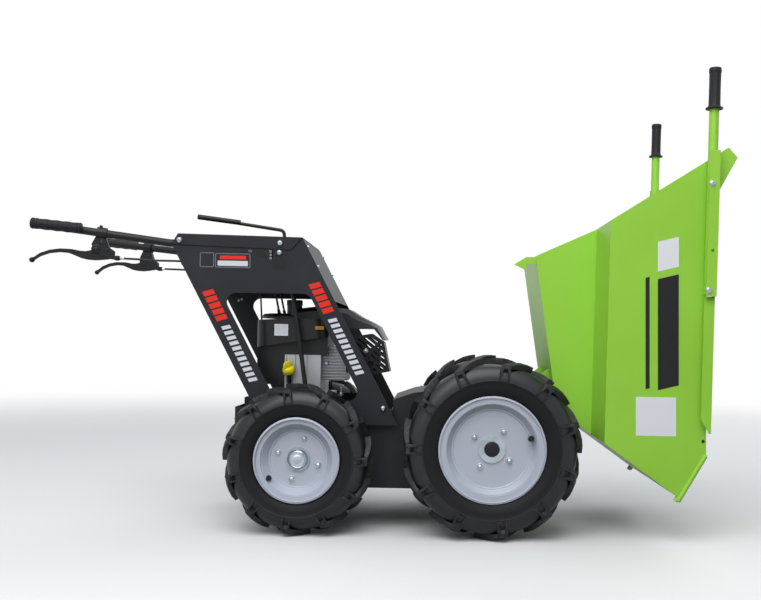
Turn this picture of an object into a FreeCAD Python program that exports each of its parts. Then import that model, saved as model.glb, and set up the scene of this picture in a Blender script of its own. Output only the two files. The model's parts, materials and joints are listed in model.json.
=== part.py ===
import FreeCAD, Part
import math
import os
from collections import namedtuple

# Walk-behind power barrow on four driven wheels, with its tub tipped forwards.
# Millimetres. X points forwards, Y to the machine's left, Z up from the ground.
# The plan's X = 0 lies just in front of the front axle. At the end every piece is
# moved so that the origin lies at the middle of the length.

# Wheels: one row for each axle. Diameters and widths of tyre and rim, the middle
# plane's distance from the centre line, and how deep the disc sits in the rim.
FRONT_AXLE_X = -7.0
WHEELBASE = 527.0
WheelSize = namedtuple("WheelSize", "axle x tyre_d tyre_w mid_y bead_d seat_w flange_d rim_w"
                       " disc_depth disc_d lug_h lug_turn cap_d plug_d")
WHEELS = (
    WheelSize("rear", FRONT_AXLE_X - WHEELBASE, 414.0, 106.0, 252.0, 203.2, 66.0, 233.0, 88.0,
              37.0, 154.0, 16.0, 1, 65.0, 50.0),
    WheelSize("front", FRONT_AXLE_X, 494.0, 125.0, 265.0, 254.0, 84.0, 290.0, 100.0,
              28.0, 212.0, 17.0, -1, 74.0, 39.0),
)
LUGS_PER_SIDE = 11
LUG_SHOULDER_W = 30.0
LUG_TIP_W = 16.0
LUG_OVERLAP = 6.0
LUG_PROUD = 1.5
LUG_SHOULDER_LESS = 13.0
FACETS_PER_LUG = 2
CROWN_FLAT = 0.5
SHOULDER_IN = 8.0
SHOULDER_DROP = 12.0
RIM_T = 3.0
RIM_LIP = 5.0
RIM_STEP = 6.0
DISC_BEAD = 2.0
FIT_GAP = 0.3

# Axles and hubs
AXLE_D = 30.0
AXLE_TUBE_D = 54.0
DISC_BORE_D = 38.0
HUB_D = 62.0
HUB_FLANGE_D = 140.0
HUB_FLANGE_T = 8.0
HUB_INNER_Y = 190.0
CAP_T = 4.0
CAP_RISE = 13.0
CAP_CROWN = 1.0
CAP_NECK = 0.8
CAP_CROWN_NECK = 0.7
AXLE_RUNNING_GAP = 0.05
AXLE_END_GAP = 1.0

# Chassis: lower drive case, engine tray behind, narrower front deck that rises
# over a ramp and then runs level with the tub's floor at travel
CASE_HALF_W = 168.0
CASE_Z0 = 116.0
CASE_Z1 = 293.0
CASE_REAR_X = -705.0
CASE_FRONT_X = 55.0
TRAY_HALF_W = 187.0
TRAY_REAR_X = -724.0
TRAY_FRONT_X = -282.0
TRAY_TOP_Z = 340.0
SHEET_T = 3.0
DECK_HALF_W = 160.0
DECK_REAR_Z = 366.0
DECK_RAMP_X = -224.0
DECK_FRONT_X = 88.0
DECK_TUB_GAP = 13.0

# Tub pivot, on the chassis' front brackets
PIVOT_X = 140.0
PIVOT_Z = 420.0
PIVOT_PIN_D = 16.0
PIVOT_EYE_R = 18.0
PIVOT_LUG_T = 6.0
PIVOT_LUG_Y = 96.0
PIVOT_SIDE_GAP = 5.0
PIVOT_PIN_END = 6.0
PIVOT_NECK = 16.0
PIVOT_FOOT_RISE = 20.0
EAR_FOOT = 40.0
EAR_NECK = 16.0
EAR_DROP = 6.0

# Console: two leaning side frames with a window, under a cover whose sides fold
# down over them
CONSOLE_HALF_W = 190.0
COVER_TOP_REAR = (-892.0, 823.0)
COVER_TOP_FRONT = (-543.0, 818.0)
COVER_FOLD_REAR = (-910.0, 793.0)
COVER_FOLD_FRONT = (-575.0, 783.0)
LEG_RUN = 0.53
REAR_LEG_W = 70.0
FRONT_LEG_W = 63.0
LEG_FOOT_Z = 296.0
WINDOW_TOP_Z = 660.0
WINDOW_BOTTOM_Z = 362.0
WINDOW_CORNER_R = 26.0
FRONT_PANEL_Z0 = 640.0
REAR_PANEL_Z0 = 673.0
REAR_PANEL_Z1 = 770.0
SPARE_HOLE = (-611.5, 749.5)
SPARE_HOLE_D = 9.0

# Handlebars, splayed outwards from the console to the grips
BAR_D = 22.0
GRIP_D = 31.0
BAR_FRONT = (-615.0, 171.0, 787.0)
BAR_BEND = (-918.0, 172.0, 797.0)
GRIP_FRONT = (-1146.0, 237.0, 826.5)
GRIP_REAR = (-1281.0, 243.0, 838.5)
BAR_BEND_R = 120.0
GRIP_END_T = 6.0
GRIP_GAP = 0.1

# Hand levers: clamp, cast bracket with two eyes, and the bowed blade with its ball,
# as outlines beside the bar, with x from the clamp's middle and z from the ground
CLAMP_X = -1099.0
CLAMP_L = 26.0
CLAMP_WALL = 5.0
LEVER_BODY = ((-14.0, 812.0), (-27.0, 786.0), (-22.0, 768.0), (-1.0, 757.0),
              (9.0, 748.0), (35.0, 745.0), (35.0, 768.0), (21.0, 778.0),
              (13.0, 800.0), (13.0, 812.0))
LEVER_BODY_T = 12.0
LEVER_EYE = (1.0, 795.5)
LEVER_EYE_D = 20.0
LEVER_EYE_HOLE_D = 7.0
LEVER_EYE_PROUD = 1.0
LEVER_PIVOT = (-15.0, 772.5)
LEVER_PIVOT_D = 25.0
LEVER_BLADE_TOP = ((-180.0, 742.5), (-161.0, 757.0), (-136.0, 766.5), (-109.5, 771.0),
                   (-79.0, 770.5), (-57.0, 766.5), (-42.0, 766.0), (-29.0, 769.0),
                   (-15.0, 776.0))
LEVER_BLADE_BOTTOM = ((22.0, 746.0), (6.0, 743.5), (-16.0, 741.5), (-36.0, 742.5),
                      (-53.0, 746.0), (-70.0, 753.0), (-87.0, 759.5), (-110.0, 761.0),
                      (-137.0, 757.0), (-160.0, 748.0), (-178.0, 735.0))
LEVER_BLADE_T = 9.0
LEVER_BALL = (-182.0, 737.5)
LEVER_BALL_D = 15.0
ADJUSTER_X = 35.0
ADJUSTER_Z = 749.5
ADJUSTER_D = 12.0
ADJUSTER_L = 14.0
CABLE_D = 6.0
CABLE_HOLE_D = 14.0
CABLE_BEND_R = 90.0
CABLE_PATH = ((-1012.0, 190.5, 748.5), (-962.0, 180.0, 746.5), (-900.0, 171.0, 747.0),
              (-838.0, 157.0, 744.0), (-780.0, 126.0, 745.0), (-726.0, 88.0, 740.0),
              (-676.0, 62.0, 721.0), (-646.0, 52.0, 688.0), (-636.0, 48.0, 645.0))
CABLE_END = (-628.0, 50.0)

# Gear lever on the console and the shift rod down through the window
GEAR_LEVER_Y = -60.0
GEAR_LEVER_D = 10.0
GEAR_GRIP_D = 15.0
GEAR_GRIP = ((-871.0, 887.0), (-746.0, 872.0))
GEAR_BEND = (-617.0, 851.0)
GEAR_FOOT = (-609.0, 768.0)
GEAR_BEND_R = 14.0
GEAR_SLOT_L = 35.0
SHIFT_ROD_D = 13.0
SHIFT_ROD_INSIDE = 40.0
SHIFT_ROD_TOP = (-577.0, 690.0)
SHIFT_ROD_LEAN = 0.152

# Engine: upright-shaft engine standing in the tray, as (x, z) outlines
ENGINE_X = -584.0
ENGINE_BED_Z = 362.0
ENGINE_BED = (260.0, 220.0)
CRANKCASE_X = (-600.0, -496.0)
CRANKCASE_TOP_Z = 487.0
CRANKCASE_HALF_W = 100.0
BASE_FLANGE_X = (-684.0, -470.0)
BASE_FLANGE_HALF_W = 108.0
BASE_FLANGE_T = 12.0
CASE_RIB_T = 4.0
CASE_RIB_OUT = 5.0
CASE_RIBS = (-600.0, -574.0, -541.0, -500.0)
HEAD_X = (-496.0, -424.3)
HEAD_HALF_W = 62.0
HEAD_CORE_HALF_W = 46.0
HEAD_Z = (412.0, 512.0)
FIN_T = 3.0
FIN_PITCH = 9.0
SHROUD = ((-684.0, 507.0), (-474.0, 541.0), (-474.0, 590.0), (-570.0, 593.0), (-684.0, 586.0))
SHROUD_HALF_W = 125.0
LOWER_HOUSING = ((-680.0, 520.0), (-684.0, 440.0), (-672.0, 400.0), (-600.3, 400.0), (-600.3, 487.3),
                 (-478.0, 487.3), (-478.0, 545.0))
LOWER_HOUSING_HALF_W = 94.0
SHROUD_CORNER_R = 42.0
RECOIL_X = -601.0
RECOIL_D = 172.0
RECOIL_H = 13.0
RECOIL_CHAMFER = 7.0
HOOD = ((-574.0, 593.3), (-574.0, 621.0), (-520.0, 628.0), (-447.0, 626.0), (-418.0, 622.0),
        (-385.0, 601.0), (-350.0, 585.0), (-330.0, 573.0), (-309.0, 533.0), (-317.0, 533.0),
        (-342.0, 568.0), (-409.0, 566.0), (-440.0, 570.0), (-473.0, 570.0), (-473.0, 590.4))
HOOD_EDGE = ((-568.0, 593.3), (-568.0, 609.0), (-520.0, 615.0), (-451.0, 613.0), (-424.0, 609.0),
             (-392.0, 590.0), (-354.0, 577.0), (-335.0, 568.0), (-315.0, 536.0), (-320.0, 536.0),
             (-345.0, 566.5), (-409.0, 566.0), (-440.0, 570.0), (-473.0, 570.0), (-473.0, 590.4))
HOOD_HALF_W = 95.0
HOOD_EDGE_W = 16.0
FUEL_CAP = (-581.0, -60.0)
FUEL_CAP_D = 44.0
FUEL_CAP_Z1 = 647.0
GUARD = ((-424.0, 538.0), (-398.0, 544.0), (-352.0, 552.0), (-314.0, 527.0), (-296.0, 443.0),
         (-338.0, 435.0), (-424.0, 438.0))
GUARD_Y = (-95.0, -10.0)
GUARD_T = 2.0
SLOT_W = 7.0
SLOT_PITCH = 13.0
SLOT_ANGLE = -38.0
SLOT_MARGIN = 9.0
SLOT_BAR_W = 8.0
OUTLET = (-352.0, 465.0)
OUTLET_D = 17.0
OUTLET_RING_D = 32.0
MUFFLER_GAP = 12.0
MUFFLER_INSET = 17.0
DIPSTICK = (-586.0, 418.0)
DIPSTICK_CAP_D = 34.0
DIPSTICK_CAP_T = 16.0
DIPSTICK_WING_H = 22.0
DIPSTICK_WING_T = 9.0
DIPSTICK_WING_W = 30.0
WING_SHOULDER = (0.7, 0.6)
DIPSTICK_STEM_D = 9.0

# Tub, in its travelling place: distances forwards (u) and up (w) from the pivot
TUB_WALL = 2.5
TUB_FLOOR_REAR = (-360.0, -20.0)
TUB_FLOOR_FRONT = (73.0, 40.0)
TUB_SHOULDER_REAR = (-435.0, 152.0)
TUB_SHOULDER_FRONT = (143.0, 136.0)
TUB_LIP = (299.0, 349.0)
TUB_RIM_FRONT = (184.0, 423.0)
TUB_RIM_REAR = (-462.0, 423.0)
TUB_BOARD_FRONT = (-613.0, 507.0)
TUB_BOARD_TOP = (-640.0, 483.0)
TUB_LOW_HALF_W = 175.0
TUB_SHOULDER_RISE = 15.0
TUB_HALF_W = 305.0
TUB_EDGE_BAR_D = 13.0
TUB_EDGE_BAR_PAST = 13.0
RIM_RAIL_H = 28.0
RIM_RAIL_TOP_REAR = (-626.0, 451.0)
RIM_RAIL_TOP_FRONT = (126.0, 430.0)
RIM_TAPER = 38.0
RIM_TAPER_END = 4.0
RIM_SOCKET_FRONT_U = -239.0
RIM_SOCKET_W = 35.0
RIM_FLANGE_W = 20.0
RIM_T_SHEET = 2.5
RIM_HOLE_U = -360.0
RIM_HOLE_D = 8.4
TUB_TIP_ANGLE = 89.0

# Tub handles in the rim's sockets
TUB_HANDLE_D = 26.0
TUB_HANDLE_OUT = 18.0
TUB_HANDLE_FOOT_U = -245.0
TUB_HANDLE_END_U = -848.0
TUB_GRIP_L = 110.0
TUB_GRIP_D = 33.0
TUB_COLLAR_D = 46.0
TUB_COLLAR_L = 8.0

# Arrow-headed catch blade under the tub's rear right corner, and its peg on the chassis
CATCH_T = 5.0
CATCH_Y = -171.0
CATCH_REAR_U = -357.5
CATCH_STEM_W = 20.0
CATCH_HEAD_W = 37.0
CATCH_HEAD_DEPTH = 27.0
CATCH_TIP_DEPTH = 61.0
CATCH_TIP_FORWARD = 21.0
PEG = (-165.0, 362.0)
PEG_D = 12.0
PEG_PAST = 4.0

def vec(x, y, z):
    return FreeCAD.Vector(x, y, z)


def box(x0, x1, y0, y1, z0, z1):
    return Part.makeBox(x1 - x0, y1 - y0, z1 - z0, vec(x0, y0, z0))


def prism_y(points, y0, y1):
    """Polygon of (x, z) points, as thick as the stretch from y0 to y1."""
    corners = [vec(x, y0, z) for x, z in points]
    face = Part.Face(Part.makePolygon(corners + corners[:1]))
    return face.extrude(vec(0, y1 - y0, 0))


def rod(start, end, diameter):
    a = vec(*start)
    b = vec(*end)
    return Part.makeCylinder(diameter / 2, (b - a).Length, a, b - a)


def ring_y(points):
    """Outline of (y, radius) points, turned about the Y axis."""
    corners = [vec(r, y, 0) for y, r in points]
    face = Part.Face(Part.makePolygon(corners + corners[:1]))
    return face.revolve(vec(0, 0, 0), vec(0, 1, 0), 360)


def bend(before, corner, after, bend_r):
    """Turn at a corner, and the largest radius up to bend_r that its two runs allow."""
    turn = (corner - before).getAngle(after - corner)
    shortest = min((before - corner).Length, (after - corner).Length)
    return turn, min(bend_r, 0.45 * shortest / math.tan(turn / 2))


def bent_tube(points, diameter, bend_r):
    """Round bar: straight runs joined by tangent arcs, each made by turning its end."""
    corners = [vec(*p) for p in points]
    pieces = []
    start = corners[0]
    for before, corner, after in zip(corners, corners[1:], corners[2:]):
        turn, radius = bend(before, corner, after, bend_r)
        back = (before - corner).normalize()
        ahead = (after - corner).normalize()
        first = corner + back * (radius * math.tan(turn / 2))
        last = corner + ahead * (radius * math.tan(turn / 2))
        axis = (back * -1).cross(ahead).normalize()
        centre = first + axis.cross(back * -1) * radius
        end = Part.Face(Part.Wire(Part.makeCircle(diameter / 2, first, back)))
        pieces.append(rod(start, first, diameter))
        pieces.append(end.revolve(centre, axis, math.degrees(turn)))
        start = last
    pieces.append(rod(start, corners[-1], diameter))
    return pieces[0].fuse(pieces[1:])


def mirrored(shape):
    """The same piece on the machine's other side."""
    return shape.mirror(vec(0, 0, 0), vec(0, 1, 0))


def joined(shapes):
    first = shapes[0]
    return first.fuse(list(shapes[1:])).removeSplitter()


def axle_height(size):
    """Height of the axle when the wheel stands on the flat between two lugs."""
    quarter_pitch = math.radians(360.0 / LUGS_PER_SIDE / 4)
    tip_half_angle = LUG_TIP_W / size.tyre_d
    return size.tyre_d / 2 * math.cos(quarter_pitch - tip_half_angle)


def ring_of_facets(profile, count, turn):
    """Closed (y, radius) outline carried round the Y axis in flat facets."""
    faces = []
    step = 2 * math.pi / count
    scale = 1 / math.cos(step / 2)
    for (y0, r0), (y1, r1) in zip(profile, profile[1:] + profile[:1]):
        for k in range(count):
            corners = []
            for y, r, angle in ((y0, r0, k), (y1, r1, k), (y1, r1, k + 1), (y0, r0, k + 1)):
                a = turn + angle * step
                corners.append(vec(scale * r * math.cos(a), y, scale * r * math.sin(a)))
            faces.append(Part.Face(Part.makePolygon(corners + corners[:1])))
    return Part.Solid(Part.makeShell(faces))


def lug_section(angle, y, width, r0, r1):
    """Four corners of a lug in the plane at y."""
    corners = []
    for radius, side in ((r0, -1), (r1, -1), (r1, 1), (r0, 1)):
        turn = angle + side * width / 2 / r1
        corners.append(vec(radius * math.cos(turn), y, radius * math.sin(turn)))
    return corners


def lofted_lug(sections):
    """Flat-sided body through four-cornered sections."""
    faces = [Part.Face(Part.makePolygon(end + end[:1])) for end in (sections[0], sections[-1])]
    for near, far in zip(sections, sections[1:]):
        for k in range(4):
            n = (k + 1) % 4
            for corners in ([near[k], near[n], far[n]], [near[k], far[n], far[k]]):
                faces.append(Part.Face(Part.makePolygon(corners + corners[:1])))
    return Part.Solid(Part.makeShell(faces))


def tyre(size):
    """Farm-pattern tyre about the Y axis, its outer side towards -Y."""
    radius = size.tyre_d / 2
    carcass_r = radius - size.lug_h
    half_w = size.tyre_w / 2
    seat = size.seat_w / 2
    bead_r = size.bead_d / 2 + FIT_GAP
    flange_r = size.flange_d / 2 + FIT_GAP
    wide_r = (flange_r + carcass_r) / 2
    shoulder_y = half_w - SHOULDER_IN
    shoulder_r = carcass_r - SHOULDER_DROP
    outer = [(seat, bead_r), (seat, flange_r), (half_w, wide_r), (shoulder_y, shoulder_r),
             (CROWN_FLAT * half_w, carcass_r)]
    profile = outer + [(-y, r) for y, r in reversed(outer)]
    pitch = 2 * math.pi / LUGS_PER_SIDE
    first_lug = math.pi / 2 + size.lug_turn * pitch / 4
    carcass = ring_of_facets(profile, LUGS_PER_SIDE * FACETS_PER_LUG, first_lug)
    lugs = []
    for side in (-1, 1):
        for count in range(LUGS_PER_SIDE):
            shoulder = first_lug + count * pitch
            if side > 0:
                shoulder += pitch / 2
            tip = shoulder + size.lug_turn * pitch / 2
            lugs.append(lofted_lug([
                lug_section(shoulder, side * (half_w + LUG_PROUD), LUG_SHOULDER_W,
                            wide_r + LUG_PROUD, shoulder_r + LUG_PROUD),
                lug_section(shoulder, side * shoulder_y, LUG_SHOULDER_W,
                            wide_r + LUG_PROUD, radius - LUG_SHOULDER_LESS),
                lug_section(tip, -side * LUG_OVERLAP, LUG_TIP_W,
                            carcass_r - LUG_OVERLAP, radius)]))
    return carcass.fuse(lugs)


def rim(size):
    """Rolled steel rim with its dished disc about the Y axis, its outer side towards -Y."""
    edge = size.rim_w / 2
    seat = size.seat_w / 2 + FIT_GAP
    flange_r = size.flange_d / 2
    bead_r = size.bead_d / 2
    disc_r = size.disc_d / 2
    disc_y = -edge + size.disc_depth
    inner_r = bead_r - RIM_T
    barrel = ring_y([
        (-edge, flange_r - RIM_LIP), (-edge + RIM_T / 2, flange_r), (-seat, flange_r), (-seat, bead_r),
        (seat, bead_r), (seat, flange_r), (edge - RIM_T / 2, flange_r), (edge, flange_r - RIM_LIP),
        (edge - RIM_T, flange_r - RIM_LIP), (seat + RIM_T, flange_r - 2 * RIM_T), (seat + RIM_T, inner_r),
        (seat - RIM_STEP, inner_r), (-seat + RIM_STEP, inner_r), (-seat - RIM_T, inner_r),
        (-seat - RIM_T, flange_r - 2 * RIM_T), (-edge + RIM_T, flange_r - RIM_LIP)])
    cone_y = -seat + RIM_STEP
    cone_r = bead_r - RIM_T / 2
    bore_r = DISC_BORE_D / 2
    disc = ring_y([
        (cone_y - RIM_T, cone_r), (cone_y - RIM_T, inner_r - RIM_T), (disc_y - DISC_BEAD, disc_r + RIM_T),
        (disc_y - DISC_BEAD, disc_r), (disc_y, disc_r - DISC_BEAD), (disc_y, bore_r),
        (disc_y + RIM_T, bore_r), (disc_y + RIM_T, disc_r + RIM_T), (cone_y + RIM_T, cone_r)])
    return barrel.fuse(disc).removeSplitter()


def hub(size):
    """Hub on the axle's end: flange behind the disc, barrel and stepped outer cap."""
    disc_y = -size.rim_w / 2 + size.disc_depth
    back_y = disc_y + RIM_T
    inner_y = size.mid_y - HUB_INNER_Y
    bore_r = AXLE_D / 2 + AXLE_RUNNING_GAP
    body = ring_y([
        (back_y, bore_r), (back_y, HUB_FLANGE_D / 2),
        (back_y + HUB_FLANGE_T, HUB_FLANGE_D / 2), (back_y + HUB_FLANGE_T, HUB_D / 2),
        (inner_y, HUB_D / 2), (inner_y, bore_r)])
    neck_r = DISC_BORE_D / 2
    cap_r = size.cap_d / 2
    plug_r = size.plug_d / 2
    cap = ring_y([
        (back_y, 0), (back_y, neck_r), (disc_y, neck_r), (disc_y, cap_r), (disc_y - CAP_T, cap_r),
        (disc_y - CAP_T, plug_r), (disc_y - CAP_RISE, CAP_NECK * plug_r),
        (disc_y - CAP_RISE - CAP_CROWN, CAP_CROWN_NECK * plug_r), (disc_y - CAP_RISE - CAP_CROWN, 0)])
    return body.fuse(cap).removeSplitter()


def axle(size):
    """Cross tube with its two turned ends."""
    z = axle_height(size)
    disc_y = size.mid_y + size.rim_w / 2 - size.disc_depth
    end_y = disc_y - RIM_T - AXLE_END_GAP
    shoulder_y = HUB_INNER_Y - AXLE_END_GAP
    shaft = rod((size.x, -end_y, z), (size.x, end_y, z), AXLE_D)
    tube = rod((size.x, -shoulder_y, z), (size.x, shoulder_y, z), AXLE_TUBE_D)
    return joined([shaft, tube])


def drive_case():
    """Closed case of the chain drive, with the axle tubes passing through."""
    case = box(CASE_REAR_X, CASE_FRONT_X, -CASE_HALF_W, CASE_HALF_W, CASE_Z0, CASE_Z1)
    case = case.cut(box(CASE_REAR_X + SHEET_T, CASE_FRONT_X - SHEET_T, SHEET_T - CASE_HALF_W,
                        CASE_HALF_W - SHEET_T, CASE_Z0 + SHEET_T, CASE_Z1 - SHEET_T))
    for size in WHEELS:
        z = axle_height(size)
        hole = rod((size.x, -2 * CASE_HALF_W, z), (size.x, 2 * CASE_HALF_W, z), AXLE_TUBE_D)
        case = case.cut(hole)
    return case


def engine_tray():
    """Open folded tray between the side frames, which carries the engine."""
    outer = box(TRAY_REAR_X, TRAY_FRONT_X, -TRAY_HALF_W, TRAY_HALF_W, CASE_Z1, TRAY_TOP_Z)
    inner = box(TRAY_REAR_X + SHEET_T, TRAY_FRONT_X - SHEET_T, -TRAY_HALF_W + SHEET_T,
                TRAY_HALF_W - SHEET_T, CASE_Z1 + SHEET_T, TRAY_TOP_Z + SHEET_T)
    return outer.cut(inner)


def deck_z(x):
    """Height of the front deck's level run, held below the tub's floor at travel."""
    return PIVOT_Z + tub_floor_w(x - PIVOT_X) - DECK_TUB_GAP


def deck_frame():
    """Narrower front frame: two sides and the deck over them, which rises over a ramp."""
    rear_x = TRAY_FRONT_X
    inner_x = DECK_FRONT_X - SHEET_T
    outline = [(rear_x, CASE_Z1), (DECK_FRONT_X, CASE_Z1), (DECK_FRONT_X, deck_z(DECK_FRONT_X)),
               (DECK_RAMP_X, deck_z(DECK_RAMP_X)), (rear_x, DECK_REAR_Z)]
    inside = [(rear_x - 1, CASE_Z1 - 1), (inner_x, CASE_Z1 - 1), (inner_x, deck_z(inner_x) - SHEET_T),
              (DECK_RAMP_X, deck_z(DECK_RAMP_X) - SHEET_T), (rear_x - 1, DECK_REAR_Z - SHEET_T)]
    body = prism_y(outline, -DECK_HALF_W, DECK_HALF_W)
    return body.cut(prism_y(inside, SHEET_T - DECK_HALF_W, DECK_HALF_W - SHEET_T))


def pivot_bracket():
    """Two cheeks at the deck's front and the tub's hinge pin through them."""
    cheeks = []
    deck_top = deck_z(DECK_FRONT_X)
    for y in (-PIVOT_LUG_Y, PIVOT_LUG_Y - PIVOT_LUG_T):
        foot = prism_y([(DECK_FRONT_X, CASE_Z1 + PIVOT_FOOT_RISE),
                        (PIVOT_X + PIVOT_NECK / 2, PIVOT_Z - PIVOT_NECK), (PIVOT_X, PIVOT_Z),
                        (PIVOT_X - PIVOT_NECK / 2, PIVOT_Z + PIVOT_NECK / 2),
                        (DECK_FRONT_X, deck_top)], y, y + PIVOT_LUG_T)
        eye = rod((PIVOT_X, y, PIVOT_Z), (PIVOT_X, y + PIVOT_LUG_T, PIVOT_Z), 2 * PIVOT_EYE_R)
        cheeks.append(foot.fuse(eye))
    reach = PIVOT_LUG_Y + PIVOT_SIDE_GAP + PIVOT_LUG_T + PIVOT_PIN_END
    pin = rod((PIVOT_X, -reach, PIVOT_Z), (PIVOT_X, reach, PIVOT_Z), PIVOT_PIN_D)
    return joined(cheeks + [pin])


def leg_rear_x(z):
    return COVER_FOLD_REAR[0] + (COVER_FOLD_REAR[1] - z) * LEG_RUN


def leg_front_x(z):
    return COVER_TOP_FRONT[0] + (COVER_TOP_FRONT[1] - z) * LEG_RUN


def side_frame():
    """Right side frame: flat sheet with two leaning legs and a window, up to under the cover."""
    outer_y = -CONSOLE_HALF_W
    under = SHEET_T + FIT_GAP
    outline = [(leg_rear_x(LEG_FOOT_Z), LEG_FOOT_Z), COVER_FOLD_REAR,
               (COVER_TOP_REAR[0], COVER_TOP_REAR[1] - under),
               (leg_front_x(COVER_TOP_FRONT[1] - under), COVER_TOP_FRONT[1] - under),
               (leg_front_x(LEG_FOOT_Z), LEG_FOOT_Z)]
    window = [(leg_rear_x(WINDOW_BOTTOM_Z) + REAR_LEG_W, WINDOW_BOTTOM_Z),
              (leg_rear_x(WINDOW_TOP_Z) + REAR_LEG_W, WINDOW_TOP_Z),
              (leg_front_x(WINDOW_TOP_Z) - FRONT_LEG_W, WINDOW_TOP_Z),
              (leg_front_x(WINDOW_BOTTOM_Z) - FRONT_LEG_W, WINDOW_BOTTOM_Z)]
    plate = prism_y(outline, outer_y, outer_y + SHEET_T)
    opening = prism_y(window, outer_y - 1, outer_y + SHEET_T + 1)
    corners = [e for e in opening.Edges if abs(e.tangentAt(e.FirstParameter).y) > 0.99]
    opening = opening.makeFillet(WINDOW_CORNER_R, corners)
    x, z = SPARE_HOLE
    hole = rod((x, outer_y - 1, z), (x, outer_y + SHEET_T + 1, z), SPARE_HOLE_D)
    return plate.cut(opening).cut(hole)


def console_top_panel():
    """Cover over the console, its sides folded down over the side frames, with the lever's slot."""
    inner_y = CONSOLE_HALF_W + FIT_GAP
    outer_y = inner_y + SHEET_T
    outline = [COVER_TOP_REAR, COVER_FOLD_REAR, COVER_FOLD_FRONT, COVER_TOP_FRONT]
    inside = [(COVER_FOLD_REAR[0] - SHEET_T, COVER_TOP_REAR[1] - SHEET_T),
              (COVER_FOLD_REAR[0] - SHEET_T, COVER_FOLD_FRONT[1] - SHEET_T),
              (COVER_TOP_FRONT[0] + SHEET_T, COVER_FOLD_FRONT[1] - SHEET_T),
              (COVER_TOP_FRONT[0] + SHEET_T, COVER_TOP_FRONT[1] - SHEET_T)]
    cover = prism_y(outline, -outer_y, outer_y).cut(prism_y(inside, -inner_y, inner_y))
    half_slot = GEAR_LEVER_D / 2 + FIT_GAP
    x = GEAR_BEND[0] - GEAR_LEVER_D / 2 - FIT_GAP
    slot = box(x, x + GEAR_SLOT_L, GEAR_LEVER_Y - half_slot, GEAR_LEVER_Y + half_slot,
               COVER_TOP_FRONT[1] - 2 * SHEET_T, COVER_TOP_REAR[1] + SHEET_T)
    return cover.cut(slot)


def leaning_panel(x_at, z0, z1, inwards):
    """Sheet between the side frames, along one pair of legs."""
    half = CONSOLE_HALF_W - SHEET_T - FIT_GAP
    outline = [(x_at(z0), z0), (x_at(z1), z1), (x_at(z1) + inwards, z1), (x_at(z0) + inwards, z0)]
    return prism_y(outline, -half, half)


def console_rear_panel():
    """Lower cover between the rear legs, with a hole for each control cable."""
    panel = leaning_panel(leg_rear_x, REAR_PANEL_Z0, REAR_PANEL_Z1, SHEET_T)
    through, beyond = CABLE_PATH[2], CABLE_PATH[3]
    hole = rod((through[0], -through[1], through[2]), (beyond[0], -beyond[1], beyond[2]), CABLE_HOLE_D)
    return panel.cut(hole).cut(mirrored(hole))


def handlebar():
    x0, y0, z0 = BAR_FRONT
    x1, y1, z1 = BAR_BEND
    x2, y2, z2 = GRIP_REAR
    return bent_tube([(x0, -y0, z0), (x1, -y1, z1), (x2, -y2, z2)], BAR_D, BAR_BEND_R)


def handlebar_grip():
    x0, y0, z0 = GRIP_FRONT
    x1, y1, z1 = GRIP_REAR
    outer = rod((x0, -y0, z0), (x1, -y1, z1), GRIP_D)
    x2, y2, z2 = BAR_BEND
    inner = rod((x2, -y2, z2), (x1, -y1, z1), BAR_D + 2 * GRIP_GAP)
    return outer.cut(inner)


def bar_point(x):
    """Middle of the right handlebar's splayed run at x."""
    x1, y1, z1 = BAR_BEND
    x2, y2, z2 = GRIP_REAR
    t = (x - x1) / (x2 - x1)
    return x, -(y1 + (y2 - y1) * t), z1 + (z2 - z1) * t


def bar_splay():
    """Angle by which the handlebar's rear run leans outwards, seen from above."""
    return math.atan2(GRIP_REAR[1] - BAR_BEND[1], BAR_BEND[0] - GRIP_REAR[0])


def hand_lever():
    """Clamp on the handlebar, cast bracket with two eyes, and the bowed blade with its ball."""
    bar_y = bar_point(CLAMP_X)[1]
    clamp = rod(bar_point(CLAMP_X - CLAMP_L / 2), bar_point(CLAMP_X + CLAMP_L / 2), BAR_D + 2 * CLAMP_WALL)
    bar_cut = rod(bar_point(CLAMP_X - 2 * CLAMP_L), bar_point(CLAMP_X + 2 * CLAMP_L), BAR_D + 2 * GRIP_GAP)
    pieces = []
    blade = LEVER_BLADE_TOP + LEVER_BLADE_BOTTOM
    for outline, thickness in ((LEVER_BODY, LEVER_BODY_T), (blade, LEVER_BLADE_T)):
        pieces.append(prism_y(outline, -thickness / 2, thickness / 2))
    half = LEVER_BODY_T / 2 + LEVER_EYE_PROUD
    for (x, z), diameter in ((LEVER_EYE, LEVER_EYE_D), (LEVER_PIVOT, LEVER_PIVOT_D)):
        pieces.append(rod((x, -half, z), (x, half, z), diameter))
    pieces.append(Part.makeSphere(LEVER_BALL_D / 2, vec(LEVER_BALL[0], 0, LEVER_BALL[1])))
    pieces.append(rod((ADJUSTER_X - 1, 0, ADJUSTER_Z), (ADJUSTER_X + ADJUSTER_L, 0, ADJUSTER_Z), ADJUSTER_D))
    x, z = LEVER_EYE
    lever = joined(pieces).cut(rod((x, -BAR_D, z), (x, BAR_D, z), LEVER_EYE_HOLE_D))
    lever.rotate(vec(0, 0, 0), vec(0, 0, 1), math.degrees(bar_splay()))
    lever.translate(vec(CLAMP_X, bar_y, 0))
    return joined([clamp, lever]).cut(bar_cut)


def cable_points():
    """Right control cable's route: adjuster, console, and down to the starter's dome."""
    turn = bar_splay()
    reach = ADJUSTER_X + ADJUSTER_L + FIT_GAP
    start = (CLAMP_X + reach * math.cos(turn), bar_point(CLAMP_X)[1] + reach * math.sin(turn), ADJUSTER_Z)
    end = (CABLE_END[0], -CABLE_END[1], recoil_top_z() + 2 * FIT_GAP)
    return [start] + [(x, -y, z) for x, y, z in CABLE_PATH] + [end]


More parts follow.
